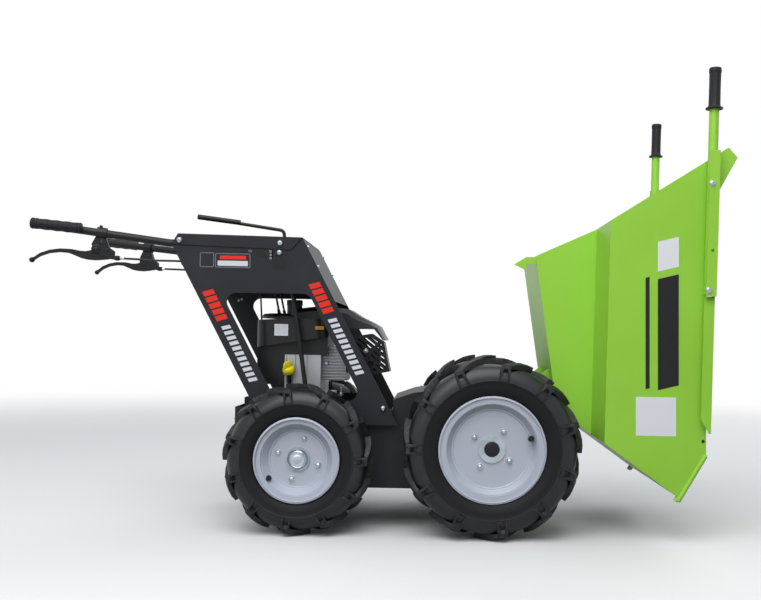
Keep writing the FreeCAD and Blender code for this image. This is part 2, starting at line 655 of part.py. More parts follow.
def control_cable():
    return bent_tube(cable_points(), CABLE_D, CABLE_BEND_R)


def gear_lever():
    (x0, z0), (x1, z1) = GEAR_GRIP
    y = GEAR_LEVER_Y
    bar = bent_tube([(x0, y, z0), (GEAR_BEND[0], y, GEAR_BEND[1]), (GEAR_FOOT[0], y, GEAR_FOOT[1])],
                    GEAR_LEVER_D, GEAR_BEND_R)
    grip = rod((x0, y, z0), (x1, y, z1), GEAR_GRIP_D)
    return joined([bar, grip])


def shift_rod():
    x0, z0 = SHIFT_ROD_TOP
    y = SHIFT_ROD_INSIDE - CONSOLE_HALF_W
    foot_z = CASE_Z1 + SHEET_T + SHIFT_ROD_LEAN * SHIFT_ROD_D / 2 + FIT_GAP
    foot_x = x0 + (z0 - foot_z) * SHIFT_ROD_LEAN
    return rod((x0, y, z0), (foot_x, y, foot_z), SHIFT_ROD_D)


def engine_bed():
    """Folded stool on the tray, open in front and behind, under the engine."""
    length, width = ENGINE_BED
    z0 = CASE_Z1 + SHEET_T
    bed = box(ENGINE_X - length / 2, ENGINE_X + length / 2, -width / 2, width / 2, z0, ENGINE_BED_Z)
    return bed.cut(box(ENGINE_X - length, ENGINE_X + length, SHEET_T - width / 2,
                       width / 2 - SHEET_T, z0 - 1, ENGINE_BED_Z - 2 * SHEET_T))


def engine_crankcase():
    """Cast crankcase with its base flange, side ribs and the finned cylinder in front."""
    x0, x1 = CRANKCASE_X
    case = box(x0, x1, -CRANKCASE_HALF_W, CRANKCASE_HALF_W, ENGINE_BED_Z, CRANKCASE_TOP_Z)
    flange = box(BASE_FLANGE_X[0], BASE_FLANGE_X[1], -BASE_FLANGE_HALF_W, BASE_FLANGE_HALF_W,
                 ENGINE_BED_Z, ENGINE_BED_Z + BASE_FLANGE_T)
    head_z0, head_z1 = HEAD_Z
    core = box(HEAD_X[0] - 1, HEAD_X[1], -HEAD_CORE_HALF_W, HEAD_CORE_HALF_W, head_z0, head_z1)
    pieces = [case, flange, core]
    for x in CASE_RIBS:
        pieces.append(box(x, x + CASE_RIB_T, -CRANKCASE_HALF_W - CASE_RIB_OUT,
                          CRANKCASE_HALF_W + CASE_RIB_OUT, ENGINE_BED_Z, CRANKCASE_TOP_Z))
    fin_z = head_z0 + FIN_PITCH / 2
    while fin_z + FIN_T < head_z1:
        pieces.append(box(HEAD_X[0] - 1, HEAD_X[1], -HEAD_HALF_W, HEAD_HALF_W, fin_z, fin_z + FIN_T))
        fin_z += FIN_PITCH
    return joined(pieces)


def upright_edges(shape):
    return [e for e in shape.Edges if abs(e.tangentAt(e.FirstParameter).z) > 0.9]


def engine_shroud():
    """Blower housing: sloping band with rounded corners, and the narrower housing below it."""
    band = prism_y(SHROUD, -SHROUD_HALF_W, SHROUD_HALF_W)
    band = band.makeFillet(SHROUD_CORNER_R, upright_edges(band))
    lower = prism_y(LOWER_HOUSING, -LOWER_HOUSING_HALF_W, LOWER_HOUSING_HALF_W)
    head = box(HEAD_X[0] - 1 - FIT_GAP, HEAD_X[1], -HEAD_HALF_W - FIT_GAP, HEAD_HALF_W + FIT_GAP,
               ENGINE_BED_Z, HEAD_Z[1] + FIT_GAP)
    return band.fuse(lower).cut(head).removeSplitter()


def engine_top_z():
    return max(z for x, z in SHROUD)


def recoil_top_z():
    return engine_top_z() + RECOIL_H


def recoil_starter():
    """Flat dome of the starter on the shroud, stepped back round the hood and the fuel cap."""
    z = engine_top_z()
    dome = Part.makeCylinder(RECOIL_D / 2, RECOIL_H, vec(RECOIL_X, 0, z))
    top = [e for e in dome.Edges if e.CenterOfMass.z > z + RECOIL_H - 1]
    dome = dome.makeChamfer(RECOIL_CHAMFER, top)
    hood_room = box(HOOD[0][0] - FIT_GAP, RECOIL_X + RECOIL_D, -RECOIL_D, RECOIL_D, z - 1, z + 2 * RECOIL_H)
    x, y = FUEL_CAP
    cap_room = Part.makeCylinder(FUEL_CAP_D / 2 + FIT_GAP, 2 * RECOIL_H, vec(x, y, z - 1))
    return dome.cut(hood_room).cut(cap_room)


def engine_hood():
    """Air filter and tank cover, sloping down in front of the shroud, with the fuel cap."""
    crest = HOOD_HALF_W - HOOD_EDGE_W
    pieces = [prism_y(HOOD, -crest, crest)]
    for side in (-1, 1):
        sections = [Part.makePolygon([vec(x, side * y, z) for x, z in outline + outline[:1]])
                    for outline, y in ((HOOD, crest), (HOOD_EDGE, HOOD_HALF_W))]
        pieces.append(Part.makeLoft(sections, True, True))
    x, y = FUEL_CAP
    foot_z = engine_top_z() + FIT_GAP
    pieces.append(Part.makeCylinder(FUEL_CAP_D / 2, FUEL_CAP_Z1 - foot_z, vec(x, y, foot_z)))
    return joined(pieces)


def guard_inside(inset, y0, y1):
    """The guard's outline moved inwards by the inset, from y0 to y1."""
    outline = Part.makePolygon([vec(x, y0, z) for x, z in GUARD + GUARD[:1]])
    return Part.Face(outline.makeOffset2D(-inset, 2)).extrude(vec(0, y1 - y0, 0))


def guard_slots():
    """Slanted slots through the guard's sides, clear of its edges, a middle bar and the outlet."""
    angle = math.radians(SLOT_ANGLE)
    along = vec(math.cos(angle), 0, math.sin(angle))
    across = vec(-math.sin(angle), 0, math.cos(angle))
    y0, y1 = GUARD_Y[0] - 1, GUARD_Y[1] + 1
    xs = [x for x, z in GUARD]
    zs = [z for x, z in GUARD]
    middle = vec((min(xs) + max(xs)) / 2, y0, (min(zs) + max(zs)) / 2)
    reach = max(xs) - min(xs)

    def band(start, run, side):
        corners = [start, start + run, start + run + side, start + side]
        return Part.Face(Part.makePolygon(corners + corners[:1])).extrude(vec(0, y1 - y0, 0))

    rows = math.ceil(reach / SLOT_PITCH / 2)
    bands = [band(middle + across * (row * SLOT_PITCH) - along * reach, along * (2 * reach), across * SLOT_W)
             for row in range(-rows, rows + 1)]
    bar = band(middle - across * reach, across * (2 * reach), along * SLOT_BAR_W)
    x, z = OUTLET
    ring = rod((x, y0, z), (x, y1, z), OUTLET_RING_D)
    return Part.makeCompound(bands).common(guard_inside(SLOT_MARGIN, y0, y1)).cut(bar).cut(ring)


def muffler_guard():
    """Slotted steel box in front of the cylinder, with the muffler's body and outlet inside."""
    y0, y1 = GUARD_Y
    x, z = OUTLET
    shell = prism_y(GUARD, y0, y1).cut(guard_inside(GUARD_T, y0 + GUARD_T, y1 - GUARD_T))
    shell = shell.cut(guard_slots()).cut(rod((x, y0 - 1, z), (x, y0 + 2 * GUARD_T, z), OUTLET_D))
    (x0, z0), (x1, z1) = GUARD[6], GUARD[3]
    body = box(x0, x1 - MUFFLER_GAP, y0 + MUFFLER_INSET, y1 - MUFFLER_INSET, z0 + MUFFLER_INSET, z1 - MUFFLER_INSET)
    return shell.fuse(body)


def oil_dipstick():
    """Winged plastic cap on its slanted stem, beside the crankcase."""
    x, z = DIPSTICK
    side_y = -CRANKCASE_HALF_W - CASE_RIB_OUT - FIT_GAP
    y = side_y - DIPSTICK_CAP_D / 2
    stem = rod((x, side_y - DIPSTICK_STEM_D / 2, ENGINE_BED_Z + BASE_FLANGE_T + FIT_GAP),
               (x, y, z), DIPSTICK_STEM_D)
    lid = rod((x, y, z), (x, y, z + DIPSTICK_CAP_T), DIPSTICK_CAP_D)
    top = z + DIPSTICK_CAP_T
    half = DIPSTICK_WING_W / 2
    shoulder_x = WING_SHOULDER[0] * half
    shoulder_z = top + WING_SHOULDER[1] * DIPSTICK_WING_H
    wing = prism_y([(x - half, top - 1), (x + half, top - 1), (x + shoulder_x, shoulder_z),
                    (x, top + DIPSTICK_WING_H), (x - shoulder_x, shoulder_z)],
                   y - DIPSTICK_WING_T / 2, y + DIPSTICK_WING_T / 2)
    return joined([stem, lid, wing])


def latch_hook():
    """Peg on the chassis' right side that the tub's catch blade snaps behind."""
    x, z = PEG
    return rod((x, -DECK_HALF_W, z), (x, CATCH_Y - PEG_PAST, z), PEG_D)


def at_travel(points):
    """Tub points given from the pivot, in the machine's plan at travel."""
    return [(PIVOT_X + u, PIVOT_Z + w) for u, w in points]


def tipped(shape):
    """The tub's piece turned forwards about the pivot, as it rests."""
    turned = shape.copy()
    turned.rotate(vec(PIVOT_X, 0, PIVOT_Z), vec(0, 1, 0), TUB_TIP_ANGLE)
    return turned


def tub_solid(inset):
    """Tub as a closed form, every wall moved inwards by the inset."""
    side = at_travel([TUB_FLOOR_REAR, TUB_SHOULDER_REAR, TUB_BOARD_TOP, TUB_BOARD_FRONT,
                      TUB_RIM_REAR, TUB_RIM_FRONT, TUB_LIP, TUB_FLOOR_FRONT])
    profile = Part.makePolygon([vec(x, 0, z) for x, z in side + side[:1]])
    if inset:
        profile = profile.makeOffset2D(-inset, 2)
    face = Part.Face(profile)
    slab = face.extrude(vec(0, 2 * TUB_HALF_W, 0))
    slab.translate(vec(0, -TUB_HALF_W, 0))
    low = TUB_LOW_HALF_W - inset
    wide = TUB_HALF_W - inset
    rear_u, rear_w = TUB_SHOULDER_REAR
    front_u, front_w = TUB_SHOULDER_FRONT
    fall = (front_w - rear_w) / (front_u - rear_u)
    beyond = 2 * TUB_HALF_W
    start_u = TUB_BOARD_TOP[0] - TUB_WALL
    start_w = rear_w + (start_u - rear_u) * fall + inset
    x, z = at_travel([(start_u, start_w)])[0]
    section = [(-low, z - beyond), (low, z - beyond), (low, z), (wide, z + TUB_SHOULDER_RISE),
               (wide, z + beyond), (-wide, z + beyond), (-wide, z + TUB_SHOULDER_RISE), (-low, z)]
    corners = [vec(x, y, h) for y, h in section]
    reach = TUB_LIP[0] - start_u + TUB_WALL
    trough = Part.Face(Part.makePolygon(corners + corners[:1])).extrude(
        vec(reach, 0, reach * fall))
    return slab.common(trough)


def edge_bars():
    """Round bars along the front edges of the tub's sides, from the rim to past the lip."""
    top = vec(*TUB_RIM_FRONT, 0)
    run = vec(*TUB_LIP, 0) - top
    end = top + run * (1 + TUB_EDGE_BAR_PAST / run.Length)
    (x0, z0), (x1, z1) = at_travel([(top.x, top.y), (end.x, end.y)])
    y = TUB_HALF_W - TUB_EDGE_BAR_D / 2
    return [rod((x0, side * y, z0), (x1, side * y, z1), TUB_EDGE_BAR_D) for side in (-1, 1)]


def tub_shell():
    """Open steel tub: outer form less the inner one, opened at the top, with its edge bars."""
    outer = tub_solid(0)
    inner = tub_solid(TUB_WALL)
    lift = [TUB_LIP, TUB_RIM_FRONT, TUB_RIM_REAR, TUB_BOARD_FRONT, TUB_BOARD_TOP]
    bottom = at_travel([(u, w - 3 * TUB_WALL) for u, w in lift])
    top = at_travel([(u, w + TUB_HALF_W) for u, w in lift])
    mouth = prism_y(bottom + top[::-1], -TUB_HALF_W + TUB_WALL, TUB_HALF_W - TUB_WALL)
    inside_front = at_travel([(TUB_LIP[0] - 2 * TUB_WALL, 0)])[0][0]
    inside_rear = at_travel([(TUB_BOARD_TOP[0] + 2 * TUB_WALL, 0)])[0][0]
    high = PIVOT_Z + TUB_BOARD_FRONT[1] + 2 * TUB_HALF_W
    mouth = mouth.common(box(inside_rear, inside_front, -TUB_HALF_W, TUB_HALF_W, 0, high))
    return tipped(outer.cut(inner).cut(mouth).fuse(edge_bars()).removeSplitter())


def rim_w_at(u):
    """Height of the rim rail's top above the pivot at u."""
    (u0, w0), (u1, w1) = RIM_RAIL_TOP_REAR, RIM_RAIL_TOP_FRONT
    return w0 + (u - u0) * (w1 - w0) / (u1 - u0)


def tub_rim():
    """Folded rail along the tub's right edge, wider where it holds the handle, tapered in front."""
    wall_y = TUB_HALF_W
    rear_u, split_u, front_u = RIM_RAIL_TOP_REAR[0], RIM_SOCKET_FRONT_U, RIM_RAIL_TOP_FRONT[0]
    taper_u = front_u - RIM_TAPER
    spans = ((rear_u, split_u, wall_y + RIM_SOCKET_W, split_u),
             (split_u, front_u, wall_y + RIM_FLANGE_W, taper_u))
    pieces = []
    for u0, u1, half_w, low_u in spans:
        outline = [(u0, rim_w_at(u0)), (u1, rim_w_at(u1))]
        if low_u < u1:
            outline.append((u1, rim_w_at(u1) - RIM_TAPER_END))
        outline += [(low_u, rim_w_at(low_u) - RIM_RAIL_H), (u0, rim_w_at(u0) - RIM_RAIL_H)]
        inner = at_travel([(u0 - RIM_T_SHEET, rim_w_at(u0) - RIM_T_SHEET),
                           (u1 + RIM_T_SHEET, rim_w_at(u1) - RIM_T_SHEET),
                           (u1 + RIM_T_SHEET, rim_w_at(u1) - 2 * RIM_RAIL_H),
                           (u0 - RIM_T_SHEET, rim_w_at(u0) - 2 * RIM_RAIL_H)])
        rail = prism_y(at_travel(outline), -half_w, -wall_y)
        pieces.append(rail.cut(prism_y(inner, -half_w + RIM_T_SHEET, -wall_y + 1)))
    x, z = at_travel([(RIM_HOLE_U, rim_w_at(RIM_HOLE_U) - RIM_RAIL_H / 2)])[0]
    hole = rod((x, -wall_y - 2 * RIM_SOCKET_W, z), (x, -wall_y - RIM_SOCKET_W / 2, z), RIM_HOLE_D)
    return tipped(joined(pieces).cut(hole))


def handle_point(u):
    """Middle of the tub handle's tube at u, in the plan at travel."""
    w = rim_w_at(u) - RIM_T_SHEET - FIT_GAP - TUB_HANDLE_D / 2
    x, z = at_travel([(u, w)])[0]
    return x, -TUB_HALF_W - TUB_HANDLE_OUT, z


def tub_handle():
    tube = rod(handle_point(TUB_HANDLE_FOOT_U), handle_point(TUB_HANDLE_END_U + GRIP_END_T), TUB_HANDLE_D)
    return tipped(tube)


def tub_handle_grip():
    end_u = TUB_HANDLE_END_U
    grip = rod(handle_point(end_u + TUB_GRIP_L), handle_point(end_u), TUB_GRIP_D)
    collar = rod(handle_point(end_u + TUB_GRIP_L), handle_point(end_u + TUB_GRIP_L - TUB_COLLAR_L),
                 TUB_COLLAR_D)
    bore = rod(handle_point(TUB_HANDLE_FOOT_U), handle_point(end_u + GRIP_END_T),
               TUB_HANDLE_D + 2 * GRIP_GAP)
    return tipped(joined([grip, collar]).cut(bore))


def tub_floor_w(u):
    """Height of the floor's underside above the pivot at u."""
    (u0, w0), (u1, w1) = TUB_FLOOR_REAR, TUB_FLOOR_FRONT
    return w0 + (u - u0) * (w1 - w0) / (u1 - u0)


def tub_hinge_bracket():
    """Two ears under the floor, outside the chassis' cheeks, on the pin."""
    ears = []
    inner_y = PIVOT_LUG_Y + PIVOT_SIDE_GAP
    hole_d = PIVOT_PIN_D + 2 * AXLE_RUNNING_GAP
    for y in (-inner_y - PIVOT_LUG_T, inner_y):
        outline = at_travel([(-EAR_FOOT, tub_floor_w(-EAR_FOOT)), (EAR_FOOT, tub_floor_w(EAR_FOOT)),
                             (EAR_NECK, -EAR_DROP), (-EAR_NECK, -EAR_DROP)])
        foot = prism_y(outline, y, y + PIVOT_LUG_T)
        eye = rod((PIVOT_X, y, PIVOT_Z), (PIVOT_X, y + PIVOT_LUG_T, PIVOT_Z), 2 * PIVOT_EYE_R)
        hole = rod((PIVOT_X, y - 1, PIVOT_Z), (PIVOT_X, y + PIVOT_LUG_T + 1, PIVOT_Z), hole_d)
        ears.append(tipped(foot.fuse(eye).cut(hole)))
    return Part.makeCompound(ears)


def tub_catch():
    """Arrow-headed blade below the tub's rear right corner."""
    u0 = CATCH_REAR_U
    u1 = u0 + CATCH_STEM_W
    floor0 = tub_floor_w(u0)
    head_w = floor0 - CATCH_HEAD_DEPTH
    blade = [(u0, floor0), (u0, head_w), (u0 + CATCH_TIP_FORWARD, floor0 - CATCH_TIP_DEPTH),
             (u0 + CATCH_HEAD_W, head_w), (u1, head_w), (u1, tub_floor_w(u1))]
    return tipped(prism_y(at_travel(blade), CATCH_Y, CATCH_Y + CATCH_T))


def build():
    """All pieces by node name, in the plan's own coordinates."""
    pieces = {
        "drive_case": drive_case(),
        "engine_tray": engine_tray(),
        "deck_frame": deck_frame(),
        "pivot_bracket": pivot_bracket(),
        "console_top_panel": console_top_panel(),
        "console_front_panel": leaning_panel(leg_front_x, FRONT_PANEL_Z0,
                                             COVER_TOP_FRONT[1] - SHEET_T - FIT_GAP, -SHEET_T),
        "console_rear_panel": console_rear_panel(),
        "gear_lever": gear_lever(),
        "shift_rod": shift_rod(),
        "engine_bed": engine_bed(),
        "engine_crankcase": engine_crankcase(),
        "engine_shroud": engine_shroud(),
        "engine_hood": engine_hood(),
        "recoil_starter": recoil_starter(),
        "muffler_guard": muffler_guard(),
        "oil_dipstick": oil_dipstick(),
        "latch_hook": latch_hook(),
        "tub_shell": tub_shell(),
        "tub_hinge_bracket": tub_hinge_bracket(),
        "tub_catch": tub_catch(),
    }
    pairs = {
        "side_frame": side_frame(),
        "handlebar": handlebar(),
        "handlebar_grip": handlebar_grip(),
        "hand_lever": hand_lever(),
        "control_cable": control_cable(),
        "tub_rim": tub_rim(),
        "tub_handle": tub_handle(),
        "tub_handle_grip": tub_handle_grip(),
    }
    for size in WHEELS:
        pieces["axle_" + size.axle] = axle(size)
        place = vec(size.x, -size.mid_y, axle_height(size))
        for name, make in (("tyre", tyre), ("rim", rim), ("hub", hub)):
            shape = make(size)
            shape.translate(place)
            pairs[name + "_" + size.axle] = shape
    for name, shape in pairs.items():
        pieces[name + "_right"] = shape
        pieces[name + "_left"] = mirrored(shape)
    return pieces


def plan_shift(pieces):
    """Move that brings the origin to the middle of the length, on the ground."""
    extents = [shape.optimalBoundingBox(False) for shape in pieces.values()]
    rear = min(extent.XMin for extent in extents)
    front = max(extent.XMax for extent in extents)
    return vec(-(rear + front) / 2, 0, 0)


def main():
    os.makedirs("parts", exist_ok=True)
    pieces = build()
    shift = plan_shift(pieces)
    for name, shape in pieces.items():
        shape.translate(shift)
        shape.exportStep("parts/" + name + ".step")
    for name, shape in pieces.items():
        extent = shape.optimalBoundingBox(False)
        print(f"{name:22s} solids {len(shape.Solids)} valid {shape.isValid()}",
              f"cm3 {shape.Volume / 1000:9.1f}",
              f"x {extent.XMin:7.1f} {extent.XMax:7.1f} y {extent.YMin:6.1f} {extent.YMax:6.1f}",
              f"z {extent.ZMin:6.1f} {extent.ZMax:6.1f}")
    route = [vec(*point) for point in cable_points()]
    radii = [bend(*three, CABLE_BEND_R)[1] for three in zip(route, route[1:], route[2:])]
    print("control cable: bend radii", [round(radius, 1) for radius in radii])
    print("control cable: runs", [round((b - a).Length, 1) for a, b in zip(route, route[1:])])
    print("plan shift", shift.x)


main()
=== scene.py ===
import json
from collections import namedtuple
from math import atan2, copysign, cos, pi, radians, sin

import bmesh
import bpy
from bpy.props import FloatProperty, IntProperty, PointerProperty, StringProperty
from bpy.types import Operator, Panel, PropertyGroup
from mathutils import Matrix, Vector


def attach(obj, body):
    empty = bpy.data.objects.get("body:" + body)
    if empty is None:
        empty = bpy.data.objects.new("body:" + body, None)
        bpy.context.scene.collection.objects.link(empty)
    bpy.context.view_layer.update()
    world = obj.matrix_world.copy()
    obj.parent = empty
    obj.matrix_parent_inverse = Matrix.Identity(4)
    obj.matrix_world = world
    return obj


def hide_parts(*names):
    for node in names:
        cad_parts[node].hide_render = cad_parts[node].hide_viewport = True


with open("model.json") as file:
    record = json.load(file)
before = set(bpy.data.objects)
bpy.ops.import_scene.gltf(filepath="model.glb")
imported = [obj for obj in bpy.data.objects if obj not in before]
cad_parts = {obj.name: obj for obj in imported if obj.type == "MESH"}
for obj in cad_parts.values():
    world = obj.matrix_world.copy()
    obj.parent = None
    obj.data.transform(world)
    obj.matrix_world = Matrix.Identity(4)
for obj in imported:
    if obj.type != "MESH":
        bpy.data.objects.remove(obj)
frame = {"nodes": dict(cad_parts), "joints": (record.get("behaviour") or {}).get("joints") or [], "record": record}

bl_info = {
    "name": "Tipping Power Barrow",
    "version": (1, 0, 0),
    "blender": (4, 5, 0),
    "location": "View3D > Sidebar > Barrow",
    "description": "Dresses the frame of a walk-behind power barrow with its tyres, finishes and fittings",
    "category": "Object",
}

MM = 0.001
JOINTS = {joint["name"]: Vector(joint["pos_m"]) for joint in frame["joints"]}
# The tub's pivot stands 140 mm in front of the plan's X = 0.
PLAN_X = JOINTS["tub_tip"].x - 0.140
SIDES = {"right": -1, "left": 1}
OUTWARDS = Vector((0, -1, 0))
UPWARDS = Vector((0, 0, 1))


def plan(x, y, z):
    """A place in the machine's plan, in millimetres, with z from the ground."""
    return Vector((PLAN_X + x * MM, y * MM, z * MM))


# Settings that a user would change

class BarrowColours(PropertyGroup):
    """Colours of the paints, rubbers and films, as sRGB hex values."""
    green: StringProperty(name="Tub", description="Gloss powder coat of the tub", default="#98D342")
    anthracite: StringProperty(name="Chassis", description="Satin coat of the chassis", default="#1D1F25")
    tread: StringProperty(name="Tread", description="Rubber of the tyres' outer zone", default="#15161B")
    sidewall: StringProperty(name="Sidewall", description="Rubber of the inner zone", default="#131315")
    rim: StringProperty(name="Rims", description="Silver paint of the rims", default="#B4BAC6")
    moulded: StringProperty(name="Plastic", description="Black moulded plastic", default="#0F1012")
    grip: StringProperty(name="Grips", description="Rubber of the grips", default="#13141A")
    yellow: StringProperty(name="Dipstick", description="Plastic of the oil dipstick", default="#D9CC1A")
    red: StringProperty(name="Red stripes", description="Red vinyl of the leg stripes", default="#E5311F")
    pale: StringProperty(name="Pale stripes", description="Pale vinyl of the leg stripes", default="#D9DCE2")


class BarrowTyres(PropertyGroup):
    """Tread of the four tyres."""
    lugs: IntProperty(name="Lugs", description="Lugs on each side of a tyre", default=11, min=5)
    foot_width: FloatProperty(name="Foot width", description="Width over a front lug's two legs",
                              default=0.040, unit="LENGTH")
    bar_width: FloatProperty(name="Bar width", description="Width of a front lug's bar at the middle",
                             default=0.018, unit="LENGTH")


class BarrowFasteners(PropertyGroup):
    """Bolts on wheels, console and tub."""
    wheel_bolts: IntProperty(name="Wheel bolts", description="Bolts in each rim", default=4, min=3)
    wheel_bolt_circle: FloatProperty(name="Bolt circle", description="Diameter the wheel bolts stand on",
                                     default=0.1145, unit="LENGTH")
    dome_diameter: FloatProperty(name="Dome bolt", description="Head diameter of the console's dome bolts",
                                 default=0.016, unit="LENGTH")


class BarrowStripes(PropertyGroup):
    """Slanted stripes along the console's legs."""
    red_count: IntProperty(name="Red stripes", description="Red stripes on each leg", default=5, min=1)
    pale_count: IntProperty(name="Pale stripes", description="Pale stripes on each leg", default=11, min=1)
    slant: FloatProperty(name="Slant", description="How far a stripe's one end runs ahead",
                         default=0.006, unit="LENGTH")


# Small helpers

def rgba(hexcode):
    """Linear colour from an sRGB hex value."""
    parts = [int(hexcode[i:i + 2], 16) / 255 for i in (1, 3, 5)]
    return tuple(c / 12.92 if c <= 0.04045 else ((c + 0.055) / 1.055) ** 2.4 for c in parts) + (1,)


WHITE = rgba("#FFFFFF")


def add_node(tree, kind, inputs=None, **settings):
    """Adds a node with its settings and inputs. A socket or a node is linked, a value is set."""
    node = tree.nodes.new(kind)
    for key, value in settings.items():
        setattr(node, key, value)
    for key, value in (inputs or {}).items():
        if isinstance(value, bpy.types.Node):
            value = value.outputs[0]
        if isinstance(value, bpy.types.NodeSocket):
            tree.links.new(value, node.inputs[key])
        else:
            node.inputs[key].default_value = value
    return node


def mesh_object(mesh):
    obj = bpy.data.objects.new("piece", mesh)
    bpy.context.scene.collection.objects.link(obj)
    return obj


def shade(obj, angle):
    """Smooth shading with sharp edges past the angle, in degrees."""
    for polygon in obj.data.polygons:
        polygon.use_smooth = True
    obj.data.set_sharp_from_angle(angle=radians(angle))


def from_bmesh(bm, materials):
    mesh = bpy.data.meshes.new("piece")
    bm.to_mesh(mesh)
    bm.free()
    for material in materials:
        mesh.materials.append(material)
    return mesh_object(mesh)


def skinned(bm, finish, smooth=35):
    """Object of one finish, its faces turned outwards."""
    bmesh.ops.recalc_face_normals(bm, faces=bm.faces)
    obj = from_bmesh(bm, [FINISH[finish]])
    shade(obj, smooth)
    return obj


def circle(x, y, radius, steps=20):
    angles = [2 * pi * k / steps for k in range(steps)]
    return [(x + radius * cos(a), y + radius * sin(a)) for a in angles]


def bridge(bm, a, b):
    """Faces between two rings of corners. A ring of one corner is a tip."""
    count = max(len(a), len(b))
    for k in range(count):
        n = (k + 1) % count
        corners = [a[k % len(a)], a[n % len(a)], b[n % len(b)], b[k % len(b)]]
        bm.faces.new(list(dict.fromkeys(corners)))


def lofted(rings, finish, smooth=35, hollow=False):
    """Piece through rings of corners, its ends closed, or the last ring joined to the first."""
    bm = bmesh.new()
    rows = [[bm.verts.new(point) for point in ring] for ring in rings]
    if not hollow and len(rows[0]) > 2:
        bm.faces.new(rows[0])
        bm.faces.new(rows[-1])
    for a, b in zip(rows, rows[1:] + rows[:hollow]):
        bridge(bm, a, b)
    return skinned(bm, finish, smooth)


def turned(profile, steps, finish, smooth=35, hollow=False):
    """Piece turned about Z from (height, radius) points in millimetres, which start and end
    on the axis, or go round a hollow piece's section."""
    rings = [[(x, y, height * MM) for x, y in circle(0, 0, radius * MM, steps if radius else 1)]
             for height, radius in profile]
    return lofted(rings, finish, smooth, hollow)


def moved(obj, matrix):
    obj.data.transform(matrix)
    return obj


def stood(obj, foot, direction):
    """A piece built along Z, put with its foot at the place and its top in the direction."""
    turn = UPWARDS.rotation_difference(Vector(direction).normalized())
    return moved(obj, Matrix.Translation(foot) @ turn.to_matrix().to_4x4())


def mirror_mesh(obj):
    """Turns a right-hand piece into its left-hand twin."""
    moved(obj, Matrix.Scale(-1, 4, (0, 1, 0)))
    obj.data.flip_normals()
    return obj


def twins(*objects):
    """The pieces and their mirrored copies on the machine's left side."""
    return [twin for obj in objects for twin in (obj, mirror_mesh(mesh_object(obj.data.copy())))]


def merged(*objects):
    """One object from several, with their meshes and materials."""
    bm = bmesh.new()
    materials = []
    for obj in objects:
        start = len(bm.faces)
        bm.from_mesh(obj.data)
        bm.faces.ensure_lookup_table()
        for material in obj.data.materials:
            if material not in materials:
                materials.append(material)
        for face in bm.faces[start:]:
            face.material_index = materials.index(obj.data.materials[face.material_index])
    for obj in objects:
        bpy.data.objects.remove(obj)
    return from_bmesh(bm, materials)


def finish_piece(name, objects, body="chassis", replaced=()):
    """One named piece from the objects, on its body and the nodes it stands for."""
    obj = merged(*objects) if len(objects) > 1 else objects[0]
    obj.name = obj.data.name = name
    if replaced:
        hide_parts(*replaced)
    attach(obj, body)


def repeated_tree():
    """Geometry nodes that repeat one piece by steps and turns, and give it its material."""
    tree = bpy.data.node_groups.new("repeated_piece", "GeometryNodeTree")
    for name, kind in (("Piece", "Geometry"), ("Count", "Int"), ("Step", "Vector"), ("Turn", "Vector"),
                       ("Material", "Material")):
        tree.interface.new_socket(name, in_out="INPUT", socket_type="NodeSocket" + kind)
    tree.interface.new_socket("Result", in_out="OUTPUT", socket_type="NodeSocketGeometry")
    given = add_node(tree, "NodeGroupInput").outputs
    index = add_node(tree, "GeometryNodeInputIndex")
    shift, turn = (add_node(tree, "ShaderNodeVectorMath", {0: given[name], "Scale": index}, operation="SCALE")
                   for name in ("Step", "Turn"))
    points = add_node(tree, "GeometryNodePoints", {"Count": given["Count"]})
    placed = add_node(tree, "GeometryNodeSetPosition", {"Geometry": points, "Position": shift})
    copies = add_node(tree, "GeometryNodeInstanceOnPoints",
                      {"Points": placed, "Instance": given["Piece"], "Rotation": turn})
    solid = add_node(tree, "GeometryNodeRealizeInstances", {"Geometry": copies})
    painted = add_node(tree, "GeometryNodeSetMaterial", {"Geometry": solid, "Material": given["Material"]})
    add_node(tree, "NodeGroupOutput", {0: painted})
    return tree


def repeated(obj, count, step=(0, 0, 0), turn=(0, 0, 0)):
    """The object's mesh becomes count copies of itself, each a step and a turn on."""
    tree = bpy.data.node_groups.get("repeated_piece") or repeated_tree()
    modifier = obj.modifiers.new("repeat", "NODES")
    modifier.node_group = tree
    values = {"Count": count, "Step": step, "Turn": turn, "Material": obj.data.materials[0]}
    for item in tree.interface.items_tree:
        if item.in_out == "INPUT" and item.name in values:
            modifier[item.identifier] = values[item.name]
    bpy.context.view_layer.update()
    graph = bpy.context.evaluated_depsgraph_get()
    mesh = bpy.data.meshes.new_from_object(obj.evaluated_get(graph))
    obj.modifiers.clear()
    obj.data = mesh
    return obj


# Finishes: the colour is a hex value or a name in the colour settings. The grain is its size
# and depth in millimetres. The patches are a second colour, their size in millimetres, and
# the noise's range over which the two colours blend.

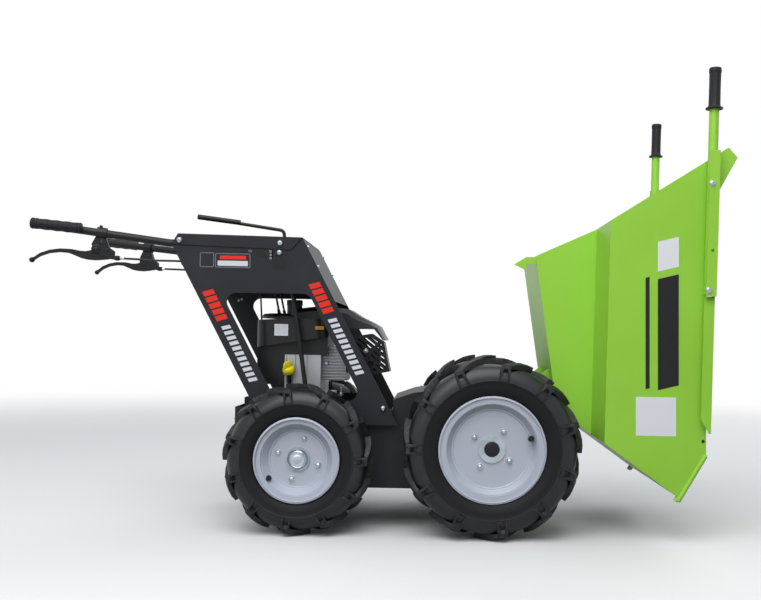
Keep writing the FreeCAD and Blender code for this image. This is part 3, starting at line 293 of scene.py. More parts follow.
Finish = namedtuple("Finish", "name colour roughness sockets grain patches", defaults=(None,))
SHEEN = "Specular IOR Level"
FINISHES = {
    # Gloss powder coat on sheet steel: bright, with a faint orange peel under a soft gloss.
    "green": Finish("green_powder_coat_on_steel", "green", 0.36, {SHEEN: 0.35}, (4, 0.06),
                    ("#92CC3C", 250, 0.45, 0.7)),
    # Fine-textured satin powder coat: dark and bluish, with a dry sheen and a little dust.
    "anthracite": Finish("anthracite_powder_coat_on_steel", "anthracite", 0.52, {SHEEN: 0.25},
                         (1.6, 0.04), ("#25262B", 120, 0.5, 0.75)),
    # Wheel paint with aluminium flake under lacquer: soft, pale and slightly metallic.
    "rim": Finish("silver_paint_on_steel", "rim", 0.38, {"Metallic": 0.15}, (1.2, 0.02)),
    # Grey painted sheet of the engine's cover: smooth, with a soft sky gloss.
    "cover": Finish("grey_painted_engine_cover", "#1E2025", 0.38, {SHEEN: 0.35}, (4, 0.04)),
    # Stoved enamel on bars, levers, guard and rods: black, with a soft sheen along the curves.
    "black": Finish("satin_black_enamel", "#0E0F12", 0.4, {SHEEN: 0.3}, (2, 0.05)),
    # Zinc plating on steel: bright and cool, with a faint crystalline cloud.
    "zinc": Finish("zinc_plated_steel", "#B4BDC3", 0.3, {"Metallic": 1.0}, None, ("#9FA9B0", 20, 0.4, 0.65)),
    # Die-cast aluminium: grey and sandy, with the dullness of a casting left raw.
    "alloy": Finish("die_cast_aluminium", "#A9ABAF", 0.45, {"Metallic": 0.8}, (2.2, 0.12)),
    # Vulcanised rubber of the outer sidewall: satin from the mould, bluish under the sky.
    "tyre": Finish("satin_moulded_tyre_rubber", "tread", 0.37, {SHEEN: 0.42}, (4, 0.05),
                   ("#1F2024", 50, 0.5, 0.72)),
    # The same rubber inside the sidewall's ring: dull and near black.
    "sidewall": Finish("dull_sidewall_rubber", "sidewall", 0.6, {SHEEN: 0.2}, (2, 0.12)),
    # Lugs scuffed by the ground: rubber with grey dust in patches.
    "lug": Finish("dusty_lug_rubber", "tread", 0.5, {SHEEN: 0.35}, (3, 0.15),
                  ("#3C3B3B", 12, 0.5, 0.8)),
    # Rubber of grips and plugs: dull, with a fine grain.
    "grip": Finish("soft_black_grip_rubber", "grip", 0.55, {SHEEN: 0.3}, (1.4, 0.08)),
    # Injection-moulded polypropylene: near black, with a fine leather grain.
    "moulded": Finish("moulded_black_polypropylene", "moulded", 0.36, {SHEEN: 0.35}, (1.2, 0.05)),
    # Glossy yellow plastic: smooth, with the slight waviness of a thick moulding.
    "yellow": Finish("moulded_yellow_plastic", "yellow", 0.3, {}, (12, 0.1)),
    # Clear-white plastic of the cables' end sleeves.
    "nylon": Finish("white_nylon", "#E4E6E8", 0.4, {"Subsurface Weight": 0.1}, (6, 0.04)),
    # Matt floor paint: pale and even, with a faint roller texture.
    "floor": Finish("pale_floor_paint", "#DCDCDB", 0.85, {}, (10, 0.1)),
}
# Printed vinyl films: flat colour under a soft gloss, faintly wavy as glued film is.
# The dark one also serves as painted shade in a hole of the tub's side.
FILMS = {"white_film": "#E6E8EC", "red_film": "red", "pale_film": "pale", "grey_film": "#8C9099",
         "dark_film_and_painted_shade": "#0F1113", "orange_film": "#D08E2C"}
FINISHES.update({key: Finish("printed_vinyl_" + key, colour, 0.4, {SHEEN: 0.3}, (10, 0.03))
                 for key, colour in FILMS.items()})
# The finish of the frame's own pieces goes by their slot, apart from a few nodes.
SLOT_FINISH = {"anthracite_paint": "anthracite", "green_paint": "green", "black_paint": "black",
               "black_plastic": "moulded", "grip_rubber": "grip", "tyre_rubber": "tyre", "rim_paint": "rim",
               "zinc": "zinc", "engine_alloy": "alloy", "yellow_plastic": "yellow"}
NODE_FINISH = {"engine_hood": "cover", "console_front_panel": "anthracite", "handlebar_right": "black",
               "handlebar_left": "black"}
FINISH = {}


def new_finish(row):
    """Material of one row, with its constants, its grain as bump and its patches as colour."""
    colour = getattr(bpy.context.scene.barrow_colours, row.colour, row.colour)
    material = bpy.data.materials.new(row.name)
    material.use_nodes = True
    tree = material.node_tree
    shader = tree.nodes["Principled BSDF"]
    shader.inputs["Base Color"].default_value = rgba(colour)
    shader.inputs["Roughness"].default_value = row.roughness
    for key, value in row.sockets.items():
        shader.inputs[key].default_value = value
    where = add_node(tree, "ShaderNodeTexCoord").outputs["Object"]
    if row.grain:
        size, depth = row.grain
        noise = add_node(tree, "ShaderNodeTexNoise", {"Vector": where, "Scale": 1 / (size * MM), "Detail": 3})
        bump = add_node(tree, "ShaderNodeBump", {"Strength": 1, "Distance": depth * MM, "Height": noise})
        tree.links.new(bump.outputs["Normal"], shader.inputs["Normal"])
    if row.patches:
        other, size, low, high = row.patches
        noise = add_node(tree, "ShaderNodeTexNoise", {"Vector": where, "Scale": 1 / (size * MM), "Detail": 5})
        ramp = add_node(tree, "ShaderNodeMapRange", {"Value": noise, "From Min": low, "From Max": high})
        mix = add_node(tree, "ShaderNodeMix", {0: ramp, 6: rgba(colour), 7: rgba(other)}, data_type="RGBA")
        tree.links.new(mix.outputs[2], shader.inputs["Base Color"])
    return material


class BARROW_OT_finishes(Operator):
    """Makes the finishes and gives them to the frame's own pieces."""
    bl_idname = "barrow.finishes"
    bl_label = "Finishes"

    def execute(self, context):
        for key, row in FINISHES.items():
            FINISH[key] = new_finish(row)
        slots = {piece["node"]: piece["material_slot"] for piece in frame["record"]["subparts"]}
        for name, obj in frame["nodes"].items():
            obj.data.materials.clear()
            obj.data.materials.append(FINISH[NODE_FINISH.get(name) or SLOT_FINISH[slots[name]]])
        return {"FINISHED"}


# Tyres: one row for each axle, in millimetres. The turn says which way the lugs run.

class Tyre(namedtuple("Tyre", "diameter width bead seat flange lug_height shoulder_less lug_scale turn")):
    @property
    def crown(self):
        """Radius under the lugs at the tyre's middle."""
        return self.diameter / 2 - self.lug_height

    def radius_at(self, share):
        """Radius at a share of the way from the rim's flange to the crown."""
        return self.flange / 2 + share * (self.crown - self.flange / 2)


TYRES = {
    "rear": Tyre(414, 106, 203.2, 66, 233, 16, 15, 0.84, 1),
    "front": Tyre(494, 125, 254, 84, 290, 17, 16.5, 1, -1),
}
CARCASS_STEPS = 132
# The sidewall's thin ring, as a share of the way from flange to crown, and how far inside
# it the dull rubber ends.
RING_SHARE = 0.495
RING_EDGE = 0.02
# The skin from the sidewall over the shoulder: how far it lies inside the full width, and
# the share of the way from flange to crown.
SIDEWALL = ((4.5, 0.17), (2.3, 0.34), (1.6, 0.45), (0.2, 0.475), (0, RING_SHARE), (1.8, 0.515), (2.6, 0.60),
            (6, 0.72), (12.5, 0.86), (20, 0.93))
# A lug's legs up the sidewall: how far they stand proud of it, the share of the way to the
# crown, and half widths of the leg and of the recess as shares of the foot's.
LEGS = ((-0.1, 0.52, 1, 0.66), (1, 0.56, 0.96, 0.64), (1.3, 0.68, 0.86, 0.52), (1.3, 0.79, 0.79, 0.38),
        (0.9, 0.90, 0.75, 0.30))
# Its places over the shoulder and across the tread, as shares of the tyre's half width
ACROSS_TREAD = (0.985, 0.93, 0.84, 0.62, 0.31, 0, -0.07)
# Its details in millimetres, for the legs and the bar: how deep their base is sunk in the
# carcass, the bevels, how far the base stays inside the half width, and the recess' wall
# and floor. The foot of the bevel spreads by a share.
LEG_SUNK, BAR_SUNK = 2.5, 2
LEG_BEVEL, BAR_BEVEL = 0.9, 1.1
LEG_INSET, BAR_INSET = 3, 9
RECESS_WALL, RECESS_FLOOR = 0.7, 2.8
FOOT_SPREAD = 1.06
# Over the shoulder: how much lower the base gets, and the bar's and the recess' half width
# as shares of the foot's
SHOULDER_DROP = 12
SHOULDER_WIDE, SHOULDER_RECESS = 0.73, 0.3
TREAD_SHARP = 38


def carcass_profile(size):
    """Outer skin from the bead over the sidewall to the crown, as (y, radius) points."""
    half = size.width / 2
    seat = size.seat / 2
    flange = size.flange / 2
    heel = [(seat, size.bead / 2 + 0.4), (seat, flange - 1), (seat + 1.5, flange + 0.6),
            (seat + 5, flange + 1.2), (seat + 8, flange + 4)]
    shape = [*SIDEWALL, (0.5 * half, 0.985), (half, 1)]
    return heel + [(half - inwards, size.radius_at(share)) for inwards, share in shape]


def carcass_at(size, radius):
    """The carcass' half width at a radius on its sidewall."""
    profile = carcass_profile(size)
    for (y0, r0), (y1, r1) in zip(profile[4:], profile[5:]):
        if r0 <= radius <= r1:
            return y0 + (y1 - y0) * (radius - r0) / (r1 - r0)
    return profile[-1][0]


def lug_stations(size):
    """Down a lug from its two feet on the ring to the tyre's middle: outer and inner
    points, half width, half width of the recess, and the share of the way to the middle."""
    half = size.width / 2
    tyres = bpy.context.scene.barrow_tyres
    foot = tyres.foot_width / MM / 2 * size.lug_scale
    bar = tyres.bar_width / MM / 2 * size.lug_scale
    rows = []
    for proud, share, wide, recess in LEGS:
        radius = size.radius_at(share)
        inner = min(carcass_at(size, radius) - LEG_SUNK, half - LEG_INSET)
        rows.append(((half + proud, radius), (inner, radius), wide * foot, recess * foot, 0))
    for place in ACROSS_TREAD:
        y = place * half
        way = 1 - max(place, 0)
        top = size.diameter / 2 - size.shoulder_less * place ** 2
        low = size.crown - BAR_SUNK - SHOULDER_DROP * max(place - 0.5, 0)
        wide = SHOULDER_WIDE * foot * (1 - way) + bar * way
        rows.append(((y, top), (min(y, half - BAR_INSET), low), wide, SHOULDER_RECESS * foot, way))
    return rows


def lug(size):
    """One lug on the right side: legs on the sidewall, a block on the shoulder, a bar to the middle."""
    pitch = 2 * pi / bpy.context.scene.barrow_tyres.lugs
    bm = bmesh.new()
    rings = []
    for number, (out, base, wide, recess, way) in enumerate(lug_stations(size)):
        outer, inner = [], []
        # Across the lug: bevel (1), top (0), the recess between the legs (2), top and bevel
        for across, edge in ((-wide, 1), (LEG_BEVEL - wide, 0), (-recess - RECESS_WALL, 0), (-recess, 2),
                             (recess, 2), (recess + RECESS_WALL, 0), (wide - LEG_BEVEL, 0), (wide, 1)):
            y, radius = out
            if edge == 2 and number < len(LEGS) - 1:
                y = base[0] + RECESS_FLOOR
            if edge == 1 and number < len(LEGS):
                y -= LEG_BEVEL
            elif edge == 1:
                radius -= BAR_BEVEL
            spread = FOOT_SPREAD if edge == 1 else 1
            for (yy, rr), share, row in (((y, radius), 1, outer), (base, spread, inner)):
                a = pi / 2 + way * pitch / 2 * size.turn + across * share / (size.diameter / 2)
                row.append(bm.verts.new(Vector((rr * cos(a), -yy, rr * sin(a))) * MM))
        rings.append(outer + inner[::-1])
    for a, b in zip(rings, rings[1:]):
        bridge(bm, a, b)
    for ring in (rings[0], rings[-1]):
        for j in range(len(ring) // 2 - 1):
            bm.faces.new([ring[j], ring[j + 1], ring[-2 - j], ring[-1 - j]])
    return skinned(bm, "lug")


def carcass(size):
    """Tyre without its lugs, with the dull rubber inside the sidewall's ring."""
    half = carcass_profile(size)
    skin = half + [(-y, r) for y, r in reversed(half[:-1])]
    obj = turned(skin, CARCASS_STEPS, "tyre", hollow=True)
    obj.data.materials.append(FINISH["sidewall"])
    ring = size.radius_at(RING_SHARE - RING_EDGE) * MM
    for polygon in obj.data.polygons:
        if polygon.center.xy.length < ring:
            polygon.material_index = 1
    return stood(obj, (0, 0, 0), OUTWARDS)


def wheel_piece(kind, obj, axle, side, replaced=()):
    """Moves a right-hand piece, built about the wheel's centre, to its wheel."""
    wheel = "wheel_%s_%s" % (axle, side)
    if side == "left":
        mirror_mesh(obj)
    moved(obj, Matrix.Translation(JOINTS[wheel + "_spin"]))
    finish_piece("%s_%s_%s" % (kind, axle, side), [obj], wheel, replaced)


def build_tyre(axle, side):
    size = TYRES[axle]
    count = bpy.context.scene.barrow_tyres.lugs
    pitch = 2 * pi / count
    pieces = [carcass(size)]
    for hand in SIDES.values():
        lugs = lug(size)
        if hand > 0:
            mirror_mesh(lugs)
        # The lugs of the two sides stand half a pitch apart, and symmetrically about the ground.
        first = size.turn * pitch / 4 + (pitch / 2 if hand > 0 else 0)
        moved(lugs, Matrix.Rotation(-first, 4, "Y"))
        pieces.append(repeated(lugs, count, turn=(0, pitch, 0)))
    tyre = merged(*pieces)
    shade(tyre, TREAD_SHARP)
    wheel_piece("tyre_tread", tyre, axle, side, ["tyre_%s_%s" % (axle, side)])


class BARROW_OT_tyres(Operator):
    """Farm-pattern tyres with legged lugs, in place of the frame's plain ones."""
    bl_idname = "barrow.tyres"
    bl_label = "Tyres"

    def execute(self, context):
        for axle in TYRES:
            for side in SIDES:
                build_tyre(axle, side)
        return {"FINISHED"}


# Turned fittings: steps round, finish, and (height, radius) points in millimetres

TURNED = {
    "valve": (20, "grip", (
        (-3, 0), (-3, 10), (2, 10), (4, 8.2), (8, 7), (17, 6.4), (17.4, 7.6), (20, 8), (28, 7.6), (31, 6),
        (31.6, 0))),
    "hub_plug": (40, "grip", (
        (3.6, 0), (3.6, 20.4), (4.6, 21), (6, 20.8), (12.4, 19.9), (14.4, 18.2), (15.2, 14.5), (15.4, 8),
        (15.5, 0))),
    "hub_cap": (48, "zinc", (
        (3.2, 0), (3.2, 32.3), (4.6, 32.3), (5.6, 31.4), (5.6, 29.6), (4.8, 28.6), (6.4, 27.4), (9.6, 26.2),
        (12.4, 23.8), (13.8, 21.6), (13.2, 20.4), (14.6, 19.2), (15.4, 14), (15, 12.8), (15.8, 11.6),
        (16.2, 5), (16.2, 0))),
    "clamp_bolt": (18, "black", (
        (-2.5, 0), (-2.5, 5.6), (0.8, 5.6), (0.8, 4.4), (5, 4.4), (5.8, 3.6), (5.8, 2.2), (3, 2.1), (3, 0))),
    "pivot_cap": (32, "black", (
        (-0.3, 0), (-0.3, 12.2), (1, 12), (1.6, 11), (1.6, 8.6), (0.9, 8), (0.9, 6.2), (2.2, 5.8), (3, 4.6),
        (3, 0))),
    "pivot_screw": (18, "black", (
        (-0.3, 0), (-0.3, 5), (1.6, 4.6), (2.4, 3.4), (2.4, 1.8), (1.4, 1.6), (1.4, 0))),
    "adjuster_core": (24, "black", (
        (0, 0), (0, 6.3), (10, 6.3), (10, 4.4), (12.6, 4.4), (12.6, 0))),
    "cable_sleeve": (16, "nylon", (
        (-0.6, 0), (-0.6, 3.9), (1, 4.2), (2, 3.7), (9, 3.5), (10, 3.1), (10, 0))),
    "grommet": (24, "grip", (
        (-4, 0), (-4, 6.4), (-3, 9.4), (-1.4, 9.6), (-1.4, 6.8), (1.4, 6.8), (1.4, 9.6), (3, 9.4), (4, 6.4),
        (4, 0))),
    "cable_boot": (20, "grip", (
        (0, 0), (0, 6.5), (2, 6.5), (3, 4.8), (12, 4.4), (13.5, 3.2), (13.5, 0))),
    "stud": (14, "zinc", (
        (-0.4, 0), (-0.4, 3), (54, 3), (55, 2.2), (55, 0))),
    "nut_washer": (20, "zinc", ((-1.2, 0), (-1.2, 8), (0, 8), (0, 0))),
    "nut": (6, "zinc", ((0, 0), (0, 5.2), (0.8, 5.8), (5.2, 5.8), (6, 5.2), (6, 0))),
    "hex_flange": (24, "zinc", ((-0.4, 0), (-0.4, 6.48), (1, 6.48), (2, 5.4), (2, 0))),
    "hex_head": (6, "zinc", ((1.5, 0), (1.5, 5.193), (5.46, 5.193), (6.45, 4.23), (6.45, 0))),
    "dipstick_knob": (32, "yellow", (
        (0, 0), (0, 13.5), (2, 16.8), (6, 18), (14, 17.8), (18, 15.5), (20, 10), (20, 0))),
}
HEXAGON_SHARP = 20
WASHER_T = 1.3
# The dome bolt's head: shares of its rise and of its radius, into the socket
DOME = ((0, 1), (0.45, 0.97), (0.75, 0.80), (0.95, 0.52), (1, 0.40), (1, 0.34), (0.5, 0.32), (0.5, 0))


def fitting(kind, foot, direction):
    """A turned fitting from the table, put at its place."""
    steps, finish, profile = TURNED[kind]
    return stood(turned(profile, steps, finish, HEXAGON_SHARP if steps == 6 else 35), foot, direction)


def dome_bolt(head_d, foot, direction, washer=1.3, rise=0.44):
    """Dome-headed zinc bolt on its washer. Washer and rise are shares of the head's diameter."""
    r = head_d / 2
    profile = [(-0.4, 0), (-0.4, washer * r), (1, washer * r), (WASHER_T, washer * r - 0.4)]
    profile += [(up * rise * head_d + WASHER_T, share * r) for up, share in DOME]
    return stood(turned(profile, 24, "zinc"), foot, direction)


# Wheel fittings: one row for each axle. Millimetres from the wheel's middle plane to the
# disc's face, the angle of the first bolt, the valve's place and lean on the rim's cone,
# and the hub's end with its slot.

Wheel = namedtuple("Wheel", "disc first_bolt valve_x valve_z valve_lean hub hub_slot")
WHEELS = {
    "rear": Wheel(7, 73.8, -81, -50.7, 14, "hub_cap", "zinc"),
    "front": Wheel(22, 56.7, 109, 32.3, -16, "hub_plug", "grip_rubber"),
}
WHEEL_BOLT_D = 15
WHEEL_WASHER = 1.28
VALVE_FOOT = 2


def wheel_bolts(row):
    fasteners = bpy.context.scene.barrow_fasteners
    foot = (0, -row.disc * MM, fasteners.wheel_bolt_circle / 2)
    bolt = dome_bolt(WHEEL_BOLT_D, foot, OUTWARDS, WHEEL_WASHER)
    moved(bolt, Matrix.Rotation(radians(90 - row.first_bolt), 4, "Y"))
    return repeated(bolt, fasteners.wheel_bolts, turn=(0, 2 * pi / fasteners.wheel_bolts, 0))


def valve(row):
    """Rubber valve with its ribbed cap, leaning towards the axle."""
    lean = radians(row.valve_lean)
    foot = Vector((row.valve_x, VALVE_FOOT - row.disc, row.valve_z)) * MM
    return fitting("valve", foot, (sin(lean), -cos(lean), 0))


class BARROW_OT_wheel_fittings(Operator):
    """Bolts, air valves and hub ends of the four wheels."""
    bl_idname = "barrow.wheel_fittings"
    bl_label = "Wheel fittings"

    def execute(self, context):
        for axle, row in WHEELS.items():
            for side in SIDES:
                wheel_piece("wheel_bolts", wheel_bolts(row), axle, side)
                wheel_piece("valve", valve(row), axle, side)
                hub = fitting(row.hub, (0, -row.disc * MM, 0), OUTWARDS)
                wheel_piece(row.hub, hub, axle, side)
        return {"FINISHED"}


# Grips of the right side, in the plan's millimetres

BAR_GRIP = ((-1146, -237, 826.5), (-1281, -243, 838.5))
RIBS_FROM = 7
RIBS_LESS = 18
RIB_PITCH = 3
FINGER_WAVE = 29
TUB_GRIP = ((565.4, -323, 1165.5), (566.5, -323, 1275.6))
FLUTE_STEPS = 72
FLUTES = 12
# Height, radius and flute depth of each ring
FLUTED_RINGS = (
    (0, 14, 0), (0, 22.6, 0), (2.6, 22.8, 0), (3.6, 22, 0), (5, 18.2, 0), (8, 16.2, 0),
    (10, 15.9, 0), (12, 15.9, 0.9), (30, 15.6, 0.9), (60, 15.4, 0.9), (92, 15.7, 0.9),
    (96, 16, 0.9), (98, 16.3, 0), (105, 16.4, 0), (109, 15.4, 0), (110, 12.6, 0))


def bar_grip():
    """Grip with a collar, four shallow finger waves with fine ribs on them, and a rounded end."""
    foot, end = (plan(*place) for place in BAR_GRIP)
    length = (end - foot).length / MM
    profile = [(0, 0), (0, 14.2), (1.2, 15.3), (5, 15.4), (6, 14.2)]
    for k in range(int((length - RIBS_LESS) / RIB_PITCH)):
        s = RIBS_FROM + k * RIB_PITCH
        wave = 14.3 + 0.55 * cos(2 * pi * (s - RIBS_FROM) / FINGER_WAVE)
        profile += [(s, wave), (s + 0.9, wave + 0.45), (s + 1.9, wave + 0.45), (s + 2.6, wave)]
    profile += [(length - 9, 14.4), (length - 8, 15.4), (length - 2.5, 15.4), (length - 0.5, 14),
                (length - 0.2, 10), (length - 1.4, 7.5), (length - 1.4, 0)]
    return stood(turned(profile, 36, "grip"), foot, end - foot)


def tub_grip():
    """Grip with lengthwise flutes, a thin cone-shaped flange and a flared end."""
    foot, end = (plan(*place) for place in TUB_GRIP)
    rings = []
    for height, radius, depth in FLUTED_RINGS:
        ring = []
        for x, y in circle(0, 0, 1, FLUTE_STEPS):
            r = radius - depth * (0.5 - 0.5 * cos(FLUTES * atan2(y, x)))
            ring.append(Vector((r * x, r * y, height)) * MM)
        rings.append(ring)
    return stood(lofted(rings, "grip"), foot, end - foot)


class BARROW_OT_grips(Operator):
    """Ribbed handlebar grips and fluted tub grips, in place of the frame's plain ones."""
    bl_idname = "barrow.grips"
    bl_label = "Grips"

    def execute(self, context):
        for build, node, body in ((bar_grip, "handlebar_grip", "chassis"),
                                  (tub_grip, "tub_handle_grip", "tub")):
            for side, hand in SIDES.items():
                grip = build()
                if hand > 0:
                    mirror_mesh(grip)
                finish_piece("%s_rubber_%s" % (node, side), [grip], body,
                             ["%s_%s" % (node, side)])
        return {"FINISHED"}


# Hand lever and cable of the right side, in the plan's millimetres. The lever's places and
# directions are along its blade from the clamp, across it towards +Y, and up.

LEVER_CLAMP = (-1099, -207.4)
LEVER_TURN = radians(11.07)
LEVER_SCREWS = (("clamp_bolt", (-3, 0, 833.5), (0, 0, 1)), ("pivot_cap", (-15, -7, 772.5), (0, -1, 0)),
                ("pivot_screw", (14, -6, 770.5), (0, -1, 0)))
ADJUSTER_PLACE = (36.5, 0, 749.5)
ADJUSTER_RIB = ((5.6, -0.55), (6.9, -0.3), (6.9, 0.3), (5.6, 0.55))
ADJUSTER_RIBS = 20
CABLE_START = (-1050.6, -197.9, 749.5)
CABLE_NEXT = (-1012, -190.5, 748.5)
PANEL_HOLE = (-884.1, -167.4, 746.2)
PANEL_HOLE_RUN = (62, 14, -3)
CABLE_FOOT = (-628, -50, 606.3)
CABLE_FOOT_RUN = (-8, 2, 38.7)


def along_lever(along, across, up):
    x = along * cos(LEVER_TURN) - across * sin(LEVER_TURN)
    return Vector((x, along * sin(LEVER_TURN) + across * cos(LEVER_TURN), up))


def lever_place(along, across, z):
    return plan(*(Vector((*LEVER_CLAMP, 0)) + along_lever(along, across, z)))


def knurl(rib, heights, finish, count):
    """Ribs round Z: the rib's corners as (x, y), its two heights, in millimetres."""
    rings = [[Vector((x, y, z)) * MM for x, y in rib] for z in heights]
    return repeated(lofted(rings, finish, 20), count, turn=(0, 0, 2 * pi / count))


class BARROW_OT_lever_fittings(Operator):
    """Clamp bolts, pivot screws, knurled adjusters and cable ends on both sides."""
    bl_idname = "barrow.lever_fittings"
    bl_label = "Lever fittings"

    def execute(self, context):
        screws = [fitting(kind, lever_place(*foot), along_lever(*run)) for kind, foot, run in LEVER_SCREWS]
        finish_piece("lever_screws", twins(*screws))
        place, run = lever_place(*ADJUSTER_PLACE), along_lever(1, 0, 0)
        ribs = stood(knurl(ADJUSTER_RIB, (0.4, 9.6), "black", ADJUSTER_RIBS), place, run)
        core = fitting("adjuster_core", place, run)
        finish_piece("lever_adjusters", twins(core, ribs))
        start = plan(*CABLE_START)
        sleeve = fitting("cable_sleeve", start, plan(*CABLE_NEXT) - start)
        finish_piece("cable_sleeves", twins(sleeve))
        grommet = fitting("grommet", plan(*PANEL_HOLE), PANEL_HOLE_RUN)
        boot = fitting("cable_boot", plan(*CABLE_FOOT), CABLE_FOOT_RUN)
        finish_piece("cable_grommets", twins(grommet, boot))
        return {"FINISHED"}


# Console bolts as (x, z) on an upright face at y, in the plan's millimetres

FLANGE_Y = -193.3
PLATE_Y = -190
INNER_Y = -187
FLANGE_BOLTS = ((-886.9, 804.2), (-605.1, 800.5))
PLATE_BOLTS = ((-606.9, 774.4), (-308.3, 342.5))
INNER_BOLTS = ((-799, 653), (-789, 656))
INNER_BOLT_D = 6
WASHER_SUNK = 0.9
# Bolts of the front panel, which leans along the front legs from its upper edge
PANEL_EDGE = (-543, 818)
PANEL_BOLT_Y = -175
PANEL_BOLT_Z = (793, 738)
PANEL_BOLT_D = 8
LEG_RUN = 0.53


class BARROW_OT_console_bolts(Operator):
    """Dome bolts of the console's cover, side frames and front panel."""
    bl_idname = "barrow.console_bolts"
    bl_label = "Console bolts"

    def execute(self, context):
        head = context.scene.barrow_fasteners.dome_diameter / MM
        bolts, washers = [], []
        for y, places in ((FLANGE_Y, FLANGE_BOLTS), (PLATE_Y, PLATE_BOLTS)):
            for x, z in places:
                bolts.append(dome_bolt(head, plan(x, y - WASHER_SUNK, z), OUTWARDS, 1))
                washer = [(-0.3, 0), (-0.3, 0.62 * head), (0.8, 0.62 * head), (1.1, 0.58 * head), (1.1, 0)]
                washers.append(stood(turned(washer, 24, "black"), plan(x, y, z), OUTWARDS))
        for x, z in INNER_BOLTS:
            bolts.append(dome_bolt(INNER_BOLT_D, plan(x, INNER_Y, z), (0, 1, 0)))
        for z in PANEL_BOLT_Z:
            place = plan(PANEL_EDGE[0] + (PANEL_EDGE[1] - z) * LEG_RUN, PANEL_BOLT_Y, z)
            bolts.append(dome_bolt(PANEL_BOLT_D, place, (1, 0, LEG_RUN)))
        finish_piece("console_bolts", twins(*bolts))
        finish_piece("console_washers", twins(*washers))
        return {"FINISHED"}


# Films: outlines as (x, z) in the plan's millimetres on an upright face at y

FILM_T = 0.3
FILM_SUNK = 0.05
FIELD_CORNERS = (3, 1.6)
BAR_CORNER = 1.5


def film(outline, y, finish, inner=None):
    """Thin film with a polygon's outline, or a line between it and an inner outline: printed, or dark as painted
    shade.
    """
    rows = [(outline, -FILM_SUNK), (outline, FILM_T)]
    if inner:
        rows += [(inner, FILM_T), (inner, -FILM_SUNK)]
    rings = [[plan(x, y + copysign(1, y) * out, z) for x, z in line] for line, out in rows]
    return lofted(rings, finish, 20, hollow=bool(inner))


def quarter(x, z, radius, start, steps):
    """Corners round a quarter circle from an angle in degrees."""
    angles = [radians(start + 90 * k / steps) for k in range(steps + 1)]
    return [(x + radius * cos(a), z + radius * sin(a)) for a in angles]


def rounded_box(x0, x1, z0, z1, radius):
    corners = ((x1 - radius, z1 - radius, 0), (x0 + radius, z1 - radius, 90), (x0 + radius, z0 + radius, 180),
               (x1 - radius, z0 + radius, 270))
    return [point for x, z, start in corners for point in quarter(x, z, radius, start, 5)]


# Each leg's stripes: the middle line's x at z, and the heights where red and pale start.
# A stripe is its width, its length and its pitch.
LEG_STRIPES = ((-781.7, 617, 658, 562), (-482, 640, 684, 587))
RED_STRIPE = (15, 31, 19.5)
PALE_STRIPE = (10.5, 24, 16.4)


class BARROW_OT_leg_stripes(Operator):
    """Red and pale slanted stripes down the legs of both side frames."""
    bl_idname = "barrow.leg_stripes"
    bl_label = "Leg stripes"

    def execute(self, context):
        stripes = context.scene.barrow_stripes
        pieces = []
        for x, z, red_z, pale_z in LEG_STRIPES:
            for top_z, sizes, count, finish in ((red_z, RED_STRIPE, stripes.red_count, "red_film"),
                                                (pale_z, PALE_STRIPE, stripes.pale_count, "pale_film")):
                pieces.append(self.stripes(x + (z - top_z) * LEG_RUN, top_z, sizes, count, finish))
        finish_piece("leg_stripes", twins(*pieces))
        return {"FINISHED"}

    def stripes(self, x, z, sizes, count, finish):
        """A row of like stripes down one leg of the right side, from the first one's middle."""
        width, length, pitch = sizes
        slant = bpy.context.scene.barrow_stripes.slant / MM / 2
        down = Vector((LEG_RUN, -1)).normalized()
        across = Vector((-down.y, down.x))
        middle = Vector((x, z))
        corners = [middle + down * (along * width / 2 + side * slant) + across * (side * length / 2)
                   for along, side in ((-1, -1), (1, -1), (1, 1), (-1, 1))]
        step = (down.x * pitch * MM, 0, down.y * pitch * MM)
        return repeated(film(corners, PLATE_Y, finish), count, step=step)


# Films of the console's right side: boxes as x from, x to, z from and z to
FIELDS = (((-829.6, -790.4, 730.4, 770.8), (-828.2, -791.8, 731.8, 769.4)),
          ((-786.4, -688.6, 729.6, 769.4), (-785, -690, 731, 768)))
BARS = (((-774, -700, 753, 763.5), "red_film"), ((-780, -695, 734.5, 749), "pale_film"))
WEDGE = ((-711, 781.3), (-625.5, 782.6), (-626.4, 753.3), (-636, 753), (-664, 765))
DIAMOND = ((-695, 777.3), (-689, 781), (-683, 777.3), (-689, 773.6))
DIAMOND_HOLE = ((-692.6, 777.3), (-689, 779.5), (-685.4, 777.3), (-689, 775.1))
RINGS = ((-631.9, 777.3), (-631.7, 767.2), (-631.5, 757.7))
RING_RADII = (3, 2.1)
# A dark patch round a bolt on the console's side, its foot rounded.
DARK_PATCH_AT_BOLT = [(-582.8, 780), (-629.6, 780), *quarter(-609.6, 746, 20, 180, 6),
              *quarter(-602.8, 746, 20, 270, 6)]


class BARROW_OT_console_films(Operator):
    """Blank fields, coloured bars and a dark wedge with rings on the console's right side."""
    bl_idname = "barrow.console_films"
    bl_label = "Console films"

    def execute(self, context):
        # The lines on the dark wedge lie on top of its film.
        y, above = PLATE_Y, PLATE_Y - FILM_T
        pieces = []
        for outer, inner in FIELDS:
            inner = rounded_box(*inner, FIELD_CORNERS[1])
            pieces.append(film(rounded_box(*outer, FIELD_CORNERS[0]), y, "grey_film", inner))
        pieces += [film(rounded_box(*box, BAR_CORNER), y, finish) for box, finish in BARS]
        pieces += [film(outline, y, "dark_film_and_painted_shade") for outline in (DARK_PATCH_AT_BOLT, WEDGE)]
        pieces.append(film(DIAMOND, above, "grey_film", DIAMOND_HOLE))
        for x, z in RINGS:
            pieces.append(film(circle(x, z, RING_RADII[0]), above, "pale_film", circle(x, z, RING_RADII[1])))
        finish_piece("console_films", pieces)
        return {"FINISHED"}


# Engine fittings, in the plan's millimetres

